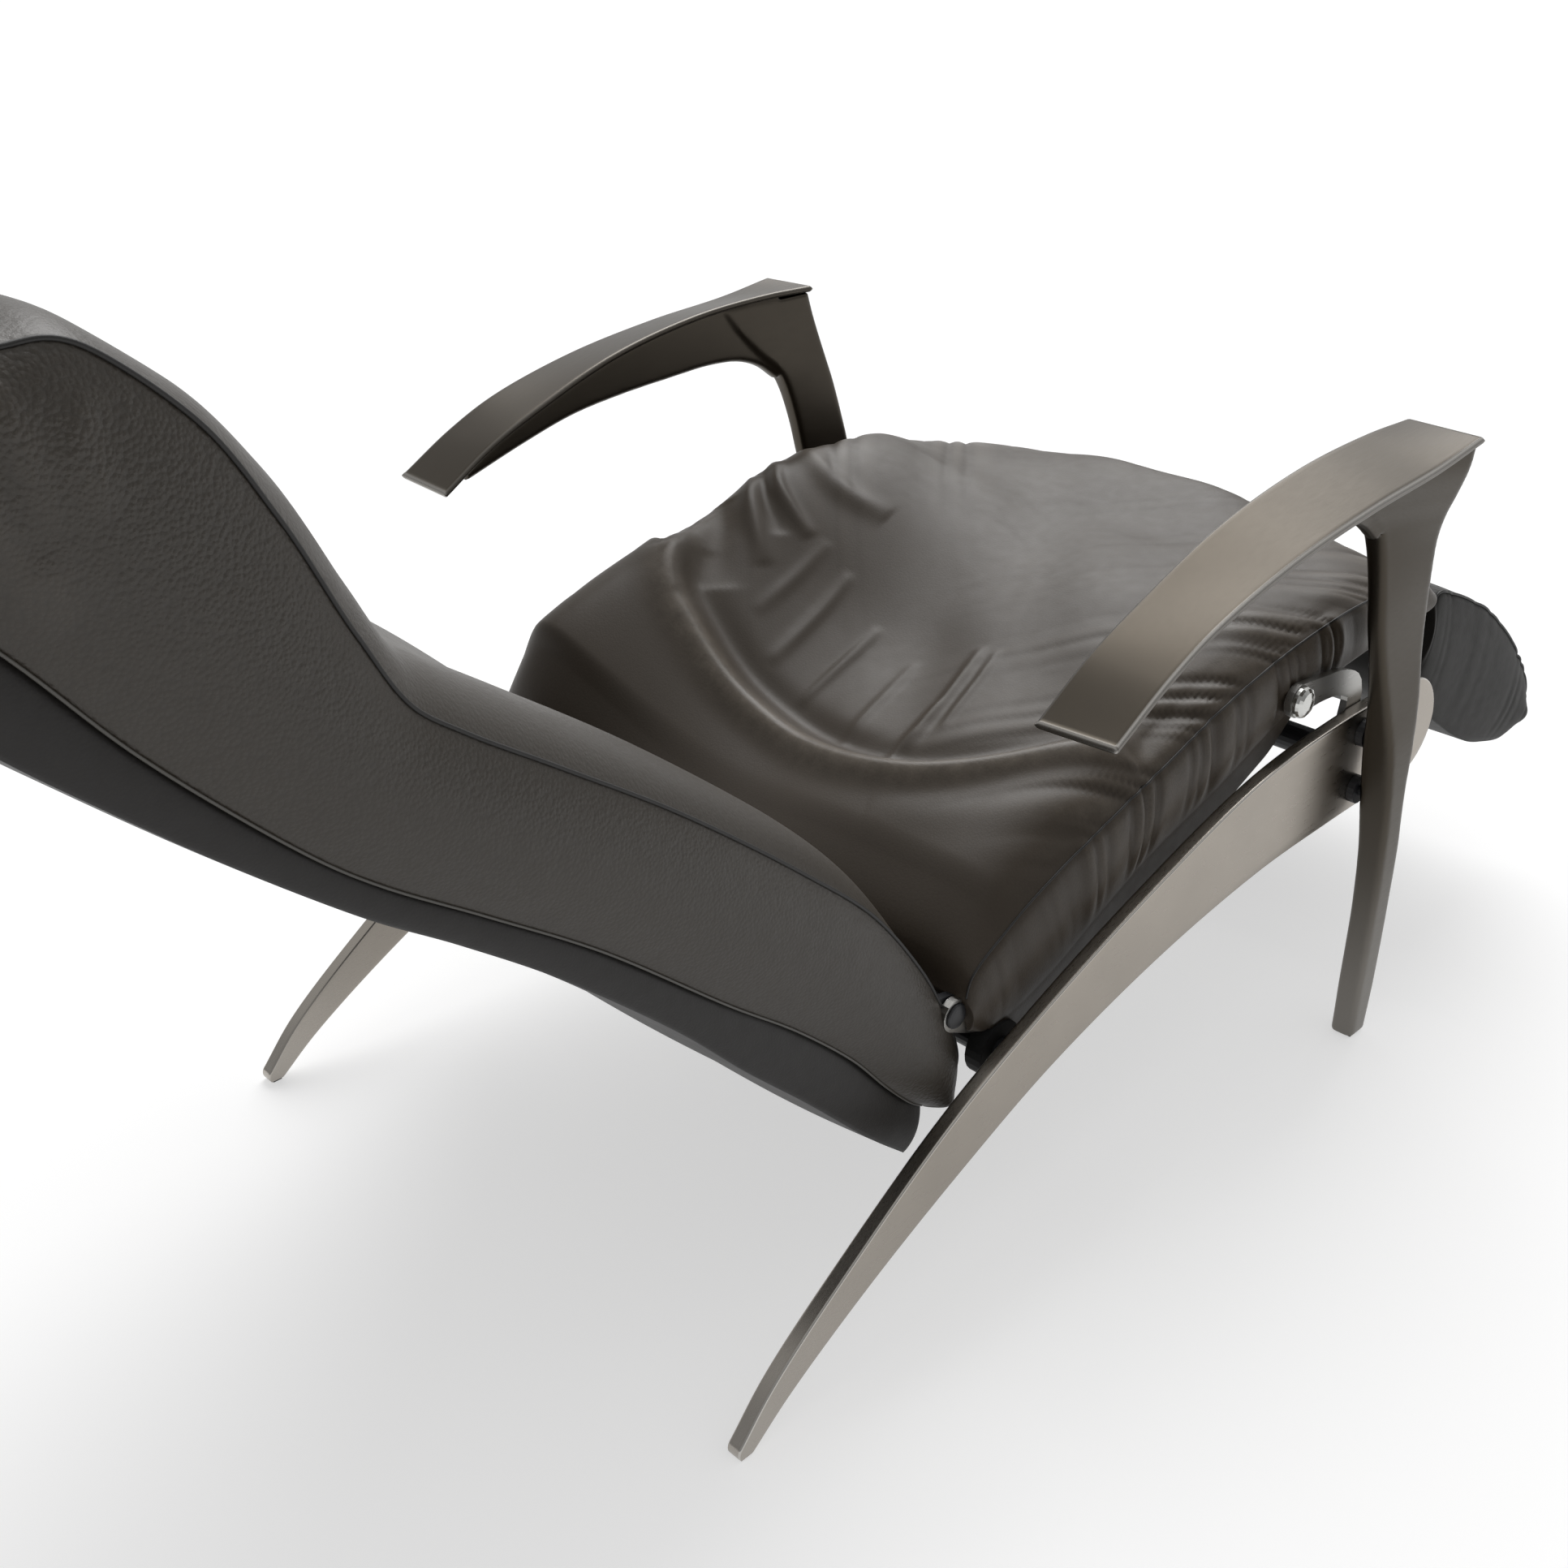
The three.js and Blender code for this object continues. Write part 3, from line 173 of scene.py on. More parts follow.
def build_piece(
    name: str,
    points: np.ndarray,
    faces: Sequence,
    attributes: Optional[dict[str, np.ndarray]] = None,
    weld: float = 2e-6,
) -> bpy.types.Object:
    """Makes an object from points and faces, welds what coincides and turns its faces outwards.

    Args:
        name: the object's name.
        points: (n, 3) places.
        faces: lists of the points' numbers.
        attributes: one number per point, under the names that materials read.
        weld: how near two points have to be to become one.

    Returns:
        The new object.
    """
    mesh = bpy.data.meshes.new(name)
    mesh.from_pydata(np.asarray(points, float).tolist(), [], [list(map(int, f)) for f in np.asarray(faces).tolist()])
    for key, values in (attributes or {}).items():
        layer = mesh.attributes.new(key, "FLOAT", "POINT")
        layer.data.foreach_set("value", np.asarray(values, np.float32).ravel())
    work = bmesh.new()
    work.from_mesh(mesh)
    bmesh.ops.remove_doubles(work, verts=work.verts, dist=weld)
    bmesh.ops.dissolve_degenerate(work, edges=work.edges, dist=weld)
    bmesh.ops.recalc_face_normals(work, faces=work.faces)
    work.to_mesh(mesh)
    work.free()
    mesh.polygons.foreach_set("use_smooth", np.ones(len(mesh.polygons), bool))
    mesh.update()
    piece = bpy.data.objects.new(name, mesh)
    bpy.context.scene.collection.objects.link(piece)
    return piece


def skin_piece(name: str, grid: np.ndarray, attributes: dict[str, np.ndarray], weld: float) -> bpy.types.Object:
    """Makes an object from a grid whose last column meets its first.

    Args:
        name: the name of the object.
        grid: (rows, columns, 3) places.
        attributes: numbers for each point of the grid, by name.
        weld: how near two points are joined, in metres.

    Returns:
        The object.
    """
    values = {key: value.ravel() for key, value in attributes.items()}
    return build_piece(name, grid.reshape(-1, 3), grid_faces(*grid.shape[:2]), values, weld=weld)


def outward_normals(grid: np.ndarray, outwards: np.ndarray, column: int) -> np.ndarray:
    """Works out a closed grid's normals as the cross product of its central differences.

    Args:
        grid: (rows, columns, 3) places.
        outwards: the (y, z) direction that leads out of the piece at the middle row.
        column: the column at which that holds.

    Returns:
        (rows, columns, 3) unit vectors.
    """
    along = np.gradient(grid, axis=0)
    across = (np.roll(grid, -1, 1) - np.roll(grid, 1, 1)) / 2
    normal = np.cross(across, along)
    normal = normal / np.maximum(np.linalg.norm(normal, axis=-1, keepdims=True), 1e-12)
    inwards = np.sum(normal[(len(grid) - 1) // 2, column, 1:] * outwards) < 0
    return -normal if inwards else normal


def line_distance(x: np.ndarray, s: np.ndarray, path: np.ndarray) -> tuple[np.ndarray, np.ndarray]:
    """Measures how far points of a surface are from a path drawn on it.

    For each straight piece of the path the foot of the perpendicular is kept inside the piece, and the
    nearest of all pieces counts.

    Args:
        x: first surface coordinate of each point.
        s: second surface coordinate of each point.
        path: (n, 2) points of the path.

    Returns:
        The distance, and the share of the path at which it is nearest.
    """
    a, b = path[:-1], path[1:]
    d = b - a
    length = np.linalg.norm(d, axis=1)
    px, ps = x[..., None] - a[:, 0], s[..., None] - a[:, 1]
    t = np.clip((px * d[:, 0] + ps * d[:, 1]) / length**2, 0, 1)
    dx, ds = px - t * d[:, 0], ps - t * d[:, 1]
    far = np.hypot(dx, ds)
    best = np.argmin(far, -1)
    nearest_t, nearest = (np.take_along_axis(values, best[..., None], -1)[..., 0] for values in (t, far))
    start = np.concatenate([[0], np.cumsum(length)[:-1]])
    return nearest, (start[best] + nearest_t * length[best]) / length.sum()


def tube_piece(name: str, path: np.ndarray, radius: float, sides: int = 10) -> bpy.types.Object:
    """Sweeps a circle along a path that runs in or near a side plane.

    A point is path + radius · (cos a · across + sin a · X), and each end closes in a half round.

    Args:
        name: the object's name.
        path: (n, 3) places.
        radius: the circle's radius.
        sides: how many points the circle has.

    Returns:
        The new object.
    """
    tangent = np.gradient(path, axis=0)
    tangent /= np.linalg.norm(tangent, axis=1, keepdims=True)
    side = np.cross(tangent, np.array([1.0, 0.0, 0.0]))
    side /= np.linalg.norm(side, axis=1, keepdims=True)
    third = np.cross(tangent, side)
    turns = np.linspace(0, 0.5 * np.pi, 4)[1:]
    centre = np.vstack([
        path[:1] - tangent[:1] * radius * np.sin(turns[::-1])[:, None], path,
        path[-1:] + tangent[-1:] * radius * np.sin(turns)[:, None],
    ])
    size = radius * np.concatenate([np.cos(turns[::-1]), np.ones(len(path)), np.cos(turns)])
    repeat = np.concatenate([[0] * 3, np.arange(len(path)), [len(path) - 1] * 3])
    angle = np.linspace(0, 2 * np.pi, sides, endpoint=False)
    grid = centre[:, None] + size[:, None, None] * (
        np.cos(angle)[None, :, None] * side[repeat][:, None] + np.sin(angle)[None, :, None] * third[repeat][:, None]
    )
    return build_piece(name, grid.reshape(-1, 3), grid_faces(len(centre), sides))


# ---------------------------------------------------------------------------------------------- finishes


def linear(code: str, level: float = 1.0) -> tuple[float, float, float, float]:
    """Turns a written sRGB colour into linear light.

    Args:
        code: the colour as #rrggbb.
        level: a factor on all three.

    Returns:
        Red, green, blue and 1.
    """
    srgb = np.array([int(code[i : i + 2], 16) for i in (1, 3, 5)]) / 255
    value = np.where(srgb <= 0.04045, srgb / 12.92, ((srgb + 0.055) / 1.055) ** 2.4) * level
    return (*value.tolist(), 1.0)


def add_node(tree: bpy.types.NodeTree, kind: str, inputs: Optional[dict] = None, **settings) -> bpy.types.Node:
    """Adds a node with its settings and its inputs.

    Args:
        tree: the tree that gets it.
        kind: the node's type.
        inputs: by input name or number, a value or the output socket that feeds it.
        **settings: the node's own settings.

    Returns:
        The new node.
    """
    node = tree.nodes.new(kind)
    for key, value in settings.items():
        setattr(node, key, value)
    for key, value in (inputs or {}).items():
        if isinstance(value, bpy.types.NodeSocket):
            tree.links.new(value, node.inputs[key])
        else:
            node.inputs[key].default_value = value
    return node


class Finish:
    """A material that is made once and given to pieces and CAD nodes."""

    name: str

    def surface(self, tree: bpy.types.NodeTree, coords: bpy.types.NodeSocket) -> dict:
        """Gives the inputs of the surface's shader; each finish has its own."""
        raise NotImplementedError

    def material(self) -> bpy.types.Material:
        """Makes the material the first time and finds it after that."""
        if self.name in bpy.data.materials:
            return bpy.data.materials[self.name]
        material = bpy.data.materials.new(self.name)
        material.use_nodes = True
        tree = material.node_tree
        tree.nodes.clear()
        coords = add_node(tree, "ShaderNodeTexCoord").outputs["Object"]
        shader = add_node(tree, "ShaderNodeBsdfPrincipled", self.surface(tree, coords))
        add_node(tree, "ShaderNodeOutputMaterial", {"Surface": shader.outputs[0]})
        return material

    def dress(self, piece: bpy.types.Object) -> None:
        """Puts the material on a piece in place of what it has."""
        piece.data.materials.clear()
        piece.data.materials.append(self.material())


def shift(tree: bpy.types.NodeTree, value: bpy.types.NodeSocket, low: float, high: float) -> bpy.types.NodeSocket:
    """Spreads a value between 0 and 1 over a range."""
    return add_node(tree, "ShaderNodeMapRange", {"Value": value, "To Min": low, "To Max": high}).outputs["Result"]


def times(tree: bpy.types.NodeTree, first, second, operation: str = "MULTIPLY") -> bpy.types.NodeSocket:
    """Combines two values, by product unless another operation is named."""
    return add_node(tree, "ShaderNodeMath", {0: first, 1: second}, operation=operation).outputs[0]


def blend_colour(tree: bpy.types.NodeTree, share, first, second) -> bpy.types.NodeSocket:
    """Mixes two colours by a share."""
    node = add_node(tree, "ShaderNodeMix", {0: share, 6: first, 7: second}, data_type="RGBA")
    return node.outputs[2]


@dataclass(frozen=True)
class Leather(Finish):
    """Dyed, lightly finished leather: a dark even colour under a broad soft gloss, with pebbled grain.

    The grain is cells of about pebble_mm; real ones are near 1 mm, and they are drawn a little coarser so
    that they show. The piece's own "wear" lightens rubbed ridges, and "grain" says how coarse the skin is.
    """

    name: str
    colour: str
    worn: str
    roughness: float = 0.4
    pebble_mm: float = 1.7
    pebble_height_mm: float = 0.22
    gloss: float = 0.5

    def surface(self, tree: bpy.types.NodeTree, coords: bpy.types.NodeSocket) -> dict:
        """Dye that varies over a hand's width, grain as rounded cells, and gloss that wear brings up."""
        per_mm = 1 / MM
        cloud = add_node(tree, "ShaderNodeTexNoise", {"Vector": coords, "Scale": 0.011 * per_mm, "Detail": 3.0})
        mottle = add_node(tree, "ShaderNodeTexNoise", {"Vector": coords, "Scale": 0.09 * per_mm, "Detail": 4.0})
        cells = add_node(
            tree, "ShaderNodeTexVoronoi",
            {"Vector": coords, "Scale": per_mm / self.pebble_mm, "Smoothness": 0.35}, feature="SMOOTH_F1",
        )
        fine = add_node(tree, "ShaderNodeTexNoise", {"Vector": coords, "Scale": 1.3 * per_mm, "Detail": 2.0})
        wear = add_node(tree, "ShaderNodeAttribute", attribute_name="wear").outputs["Fac"]
        grain = add_node(tree, "ShaderNodeAttribute", attribute_name="grain").outputs["Fac"]
        dye = blend_colour(tree, shift(tree, cloud.outputs["Fac"], 0.15, 0.85),
                           linear(self.colour, 0.86), linear(self.colour, 1.16))
        rubbed = times(tree, shift(tree, mottle.outputs["Fac"], 0, 0.5), wear)
        dye = blend_colour(tree, rubbed, dye, linear(self.worn))
        dye = blend_colour(tree, times(tree, shift(tree, cells.outputs["Distance"], -0.2, 0.5), grain),
                           dye, linear(self.colour, 0.55))
        pebbles = times(tree, times(tree, cells.outputs["Distance"], -1.0), grain)
        height = times(tree, pebbles, times(tree, fine.outputs["Fac"], 0.22), "ADD")
        bump = add_node(tree, "ShaderNodeBump", {
            "Height": height, "Strength": 0.55, "Distance": self.pebble_height_mm * MM,
        })
        rough = times(tree, shift(tree, mottle.outputs["Fac"], self.roughness - 0.05, self.roughness + 0.07),
                      times(tree, wear, -0.07), "ADD")
        return {
            "Base Color": dye, "Roughness": rough, "Normal": bump.outputs["Normal"],
            "Specular IOR Level": self.gloss,
        }


@dataclass(frozen=True)
class CastMetal(Finish):
    """Cast aluminium, ground, satin polished and tinted: fine scratches along its length, bright edges.

    The piece's own "edge" says how far the metal mixes towards bright: on the rounded edges partly buffed-through
    metal and partly painted highlight, brightest where the edges face the light, and near the floor painted light.
    """

    name: str
    colour: str
    bright: str = "#c6c3be"
    roughness: float = 0.3
    scratch_mm: float = 0.9

    def surface(self, tree: bpy.types.NodeTree, coords: bpy.types.NodeSocket) -> dict:
        """Streaks stretched along Y, cloudy tint, and edges mixed towards bright metal."""
        stretched = add_node(tree, "ShaderNodeMapping", {
            "Vector": coords, "Scale": (1.0, 0.05, 0.35),
        }).outputs["Vector"]
        streak = add_node(tree, "ShaderNodeTexNoise", {
            "Vector": stretched, "Scale": 1 / (self.scratch_mm * MM), "Detail": 3.0,
        }).outputs["Fac"]
        cloud = add_node(tree, "ShaderNodeTexNoise", {
            "Vector": coords, "Scale": 14.0, "Detail": 2.0,
        }).outputs["Fac"]
        edge = add_node(tree, "ShaderNodeAttribute", attribute_name="edge").outputs["Fac"]
        tint = blend_colour(tree, cloud, linear(self.colour, 0.88), linear(self.colour, 1.12))
        tint = blend_colour(tree, times(tree, streak, 0.25), tint, linear(self.colour, 1.3))
        # The "edge" share is partly polish and partly painted highlight, with painted light near the floor.
        tint = blend_colour(tree, edge, tint, linear(self.bright))
        rough = times(tree, shift(tree, streak, self.roughness - 0.05, self.roughness + 0.08),
                      times(tree, edge, -0.12), "ADD")
        bump = add_node(tree, "ShaderNodeBump", {"Height": streak, "Strength": 0.12, "Distance": 0.05 * MM})
        return {
            "Base Color": tint, "Metallic": 1.0, "Roughness": rough, "Normal": bump.outputs["Normal"],
        }


@dataclass(frozen=True)
class PlainFinish(Finish):
    """A hard or rubbery coat with a fine skin: powder paint, rubber or bright steel.

    Powder paint has an orange-peel skin about grit_mm across, rubber a dry bloom, and steel fine turning
    marks.
    """

    name: str
    colour: str
    roughness: float
    metallic: float = 0.0
    grit_mm: float = 1.2
    relief_mm: float = 0.05

    def surface(self, tree: bpy.types.NodeTree, coords: bpy.types.NodeSocket) -> dict:
        """A grainy skin in the bump and a little in colour and gloss."""
        grit = add_node(tree, "ShaderNodeTexNoise", {
            "Vector": coords, "Scale": 1 / (self.grit_mm * MM), "Detail": 2.0,
        }).outputs["Fac"]
        dust = add_node(tree, "ShaderNodeTexNoise", {"Vector": coords, "Scale": 30.0, "Detail": 3.0}).outputs["Fac"]
        colour = blend_colour(tree, dust, linear(self.colour, 0.85), linear(self.colour, 1.18))
        bump = add_node(tree, "ShaderNodeBump", {"Height": grit, "Strength": 0.4, "Distance": self.relief_mm * MM})
        return {
            "Base Color": colour, "Metallic": self.metallic, "Normal": bump.outputs["Normal"],
            "Roughness": shift(tree, dust, self.roughness - 0.05, self.roughness + 0.07),
        }


@dataclass(frozen=True)
class Webbing(Finish):
    """Woven elastic webbing: ribs across its length, a rib every rib_mm, and dull dark yarn."""

    name: str
    colour: str
    rib_mm: float = 2.4

    def surface(self, tree: bpy.types.NodeTree, coords: bpy.types.NodeSocket) -> dict:
        """Two crossed sets of waves make the weave's bumps."""
        waves = [add_node(tree, "ShaderNodeTexWave", {
            "Vector": coords, "Scale": scale / (self.rib_mm * MM) / 20, "Distortion": 0.6, "Detail": 1.0,
        }, bands_direction=axis).outputs["Fac"] for axis, scale in (("X", 1.0), ("Y", 2.0))]
        weave = times(tree, waves[0], waves[1])
        colour = blend_colour(tree, weave, linear(self.colour, 0.6), linear(self.colour, 1.3))
        bump = add_node(tree, "ShaderNodeBump", {"Height": weave, "Strength": 0.7, "Distance": 0.5 * MM})
        return {"Base Color": colour, "Roughness": 0.88, "Normal": bump.outputs["Normal"]}


SEAT_LEATHER = Leather("finished_leather", "#443c33", "#948a7d", roughness=0.43, gloss=0.28)
# The leg rest's leather is the seat's leather painted near black: painted shade for its slope, which faces away from
# the light.
LEGREST_LEATHER_PAINTED_SHADE = Leather("legrest_leather", "#1c1a17", "#322e29", roughness=0.52, gloss=0.2)
GUSSET_LEATHER = Leather("pebbled_leather", "#3a342c", "#645b50", 0.42, 2.4, 0.9)
SHELL_LEATHER = Leather("rear_leather", "#1f1c1a", "#35312d", roughness=0.48, gloss=0.36)
WELT_LEATHER = Leather("welt_leather", "#171513", "#2b2927", roughness=0.5)
# The rear piping is coloured lighter than the gusset: a painted highlight along the rear seam's edge.
PIPING_PAINTED_HIGHLIGHT = Leather("piping_painted_highlight", "#4f4c46", "#6c675f", roughness=0.34, gloss=0.6)
ARM_METAL = CastMetal("satin_cast_aluminium", "#454039", roughness=0.34)
RAIL_METAL = CastMetal("satin_rail_aluminium", "#9b948b", roughness=0.28)
BARE_METAL = CastMetal("brushed_bare_aluminium", "#a9a8a5", roughness=0.28)
DARK_STEEL = PlainFinish("powder_coated_steel", "#2b2c2f", 0.42)
BRIGHT_STEEL = PlainFinish("polished_steel", "#c9c9c6", 0.16, 1.0, 0.6, 0.01)
RUBBER = PlainFinish("moulded_rubber", "#1a1a1a", 0.75, 0.0, 0.8, 0.08)
WEBBING = Webbing("woven_webbing", "#24221f")


# ---------------------------------------------------------------------------------------------- upholstery


PAD_WELD = 2e-5
"""How near two points of a leather skin are joined, in metres."""

METAL_WELD = 1e-5
"""The same for the metal, whose rounds are finer."""


class Part(Enum):
    """Which part of a pad's skin a column of its grid belongs to."""

    FACE = 0
    SIDE = 1
    REAR = 2
    HEM = 3


@dataclass
class Columns:
    """The columns of a pad's grid, going once round its section.

    x_share runs from -1 to 1 across the face, level from 0 at the inner line to 1 at the outer line, and
    out is how far a side column stands out of the section's edge as a share of the side's roundness.
    """

    x_share: np.ndarray
    level: np.ndarray
    out: np.ndarray
    part: np.ndarray

    @staticmethod
    def closed_pad(face: int, side: int) -> "Columns":
        """Lays out a section with a face, two round sides and a rear face.

        Args:
            face: cells across the face and the rear face.
            side: cells down each side.

        Returns:
            The columns.
        """
        line = np.linspace(-1, 1, face + 1)
        u = 0.8 * line + 0.2 * np.sin(line * np.pi / 2)
        down = np.linspace(0, 1, side + 1)[1:-1]
        round_out = np.sin(np.pi * down) ** 0.8
        return Columns(
            np.concatenate([u, np.ones(side - 1), u[::-1], -np.ones(side - 1)]),
            np.concatenate([np.ones(face + 1), 1 - down, np.zeros(face + 1), down]),
            np.concatenate([np.zeros(face + 1), round_out, np.zeros(face + 1), round_out[::-1]]),
            np.concatenate([
                np.full(face + 1, Part.FACE.value), np.full(side - 1, Part.SIDE.value),
                np.full(face + 1, Part.REAR.value), np.full(side - 1, Part.SIDE.value),
            ]),
        )


@dataclass
class PadSkin:
    """A pad's skin as a grid: each row is a section in the plane through an outer and an inner place.

    A point is inner + level · (outer - inner) + lift · rise, with rise the unit vector from inner to outer.
    """

    outer: np.ndarray
    inner: np.ndarray
    half_width: float
    side_round: float
    columns: Columns
    lift: np.ndarray
    x: np.ndarray = field(init=False)
    level: np.ndarray = field(init=False)
    share: np.ndarray = field(init=False)

    def __post_init__(self) -> None:
        """Spreads the columns over all rows."""
        rows = len(self.outer)
        edge = self.half_width - self.side_round
        x = edge * self.columns.x_share + np.sign(self.columns.x_share) * self.side_round * self.columns.out
        self.x = np.tile(x, (rows, 1))
        self.level = np.tile(self.columns.level, (rows, 1))
        self.share = np.tile(np.linspace(0, 1, rows)[:, None], (1, len(x)))

    def grid(self) -> np.ndarray:
        """Gives the (rows, columns, 3) places of the skin."""
        span = self.outer - self.inner
        rise = span / np.linalg.norm(span, axis=1, keepdims=True)
        flat = self.inner[:, None] + self.level[..., None] * span[:, None] + self.lift[..., None] * rise[:, None]
        return np.concatenate([self.x[..., None], flat], -1)


def round_ends(grid: np.ndarray, bulge: tuple[float, float], steps: int = 5, tuck: float = 0.006) -> np.ndarray:
    """Closes a tube of sections with a half-round at each end that meets in a seam across the pad.

    Towards the end each section shrinks to the mean of its points on the side view as the cosine of a quarter
    turn and moves out as its sine, and its width draws in by tuck.

    Args:
        grid: (rows, columns, 3) places.
        bulge: how far the first and the last end stand out.
        steps: rows added at each end.
        tuck: how much narrower the seam is on each side.

    Returns:
        The longer grid.
    """
    added = []
    for end, sign, far in ((0, 1, bulge[0]), (-1, -1, bulge[1])):
        ring = grid[end]
        flat = ring[:, 1:]
        direction = (grid[end] - grid[end + sign * 2])[:, 1:].mean(0)
        direction /= np.linalg.norm(direction)
        middle = flat.mean(0)
        turn = np.linspace(0, np.pi / 2, steps + 1)[1:]
        shrink = np.cos(turn)[:, None, None]
        rows = middle + (flat - middle) * shrink + direction * far * np.sin(turn)[:, None, None]
        near_edge = (np.abs(ring[:, 0]) / np.abs(ring[:, 0]).max()) ** 4
        x = ring[:, 0] - np.sign(ring[:, 0]) * tuck * (1 - np.cos(turn))[:, None] * near_edge
        added.append(np.concatenate([x[..., None], rows], -1))
    return np.concatenate([added[0][::-1], grid, added[1]])


def padded_rows(values: np.ndarray, steps: int = 5) -> np.ndarray:
    """Repeats a grid's first and last rows for the rounded ends."""
    return np.concatenate([np.repeat(values[:1], steps, 0), values, np.repeat(values[-1:], steps, 0)])


@dataclass(frozen=True)
class Fold:
    """A ridge or crease in leather, drawn on a surface by its path.

    The height falls off as a bell of the given width, and towards the path's ends as the root of a sine.
    """

    path: tuple[tuple[float, float], ...]
    height_mm: float
    width_mm: float

    def lift(self, x: np.ndarray, s: np.ndarray) -> np.ndarray:
        """Gives how far the fold lifts each point.

        Args:
            x: place across the chair.
            s: place along the surface.

        Returns:
            The lift in metres.
        """
        path = smooth_line(np.array(self.path), 6 * len(self.path))
        far, share = line_distance(x, s, path)
        ends = np.sqrt(np.clip(np.sin(np.pi * share), 0, 1))
        return self.height_mm * MM * ends * bell(far, self.width_mm * MM)


def gathers(s: np.ndarray, spacing: float, seed: float) -> np.ndarray:
    """Puckers of uneven spacing along a seam: a rectified wave whose phase wanders, with narrow valleys.

    Args:
        s: place along the seam.
        spacing: the mean distance between puckers.
        seed: a phase that tells one seam from another.

    Returns:
        Values about between -0.7 and 0.3.
    """
    phase = np.pi * s / spacing + 1.1 * np.sin(2 * np.pi * s / (2.7 * spacing) + seed)
    phase = phase + 0.6 * np.sin(2 * np.pi * s / (4.9 * spacing) + 2.3 * seed)
    strength = 0.65 + 0.35 * np.sin(2 * np.pi * s / (3.7 * spacing) + 1.9 * seed)
    return strength * (np.abs(np.sin(phase)) ** 0.7 - 0.7)


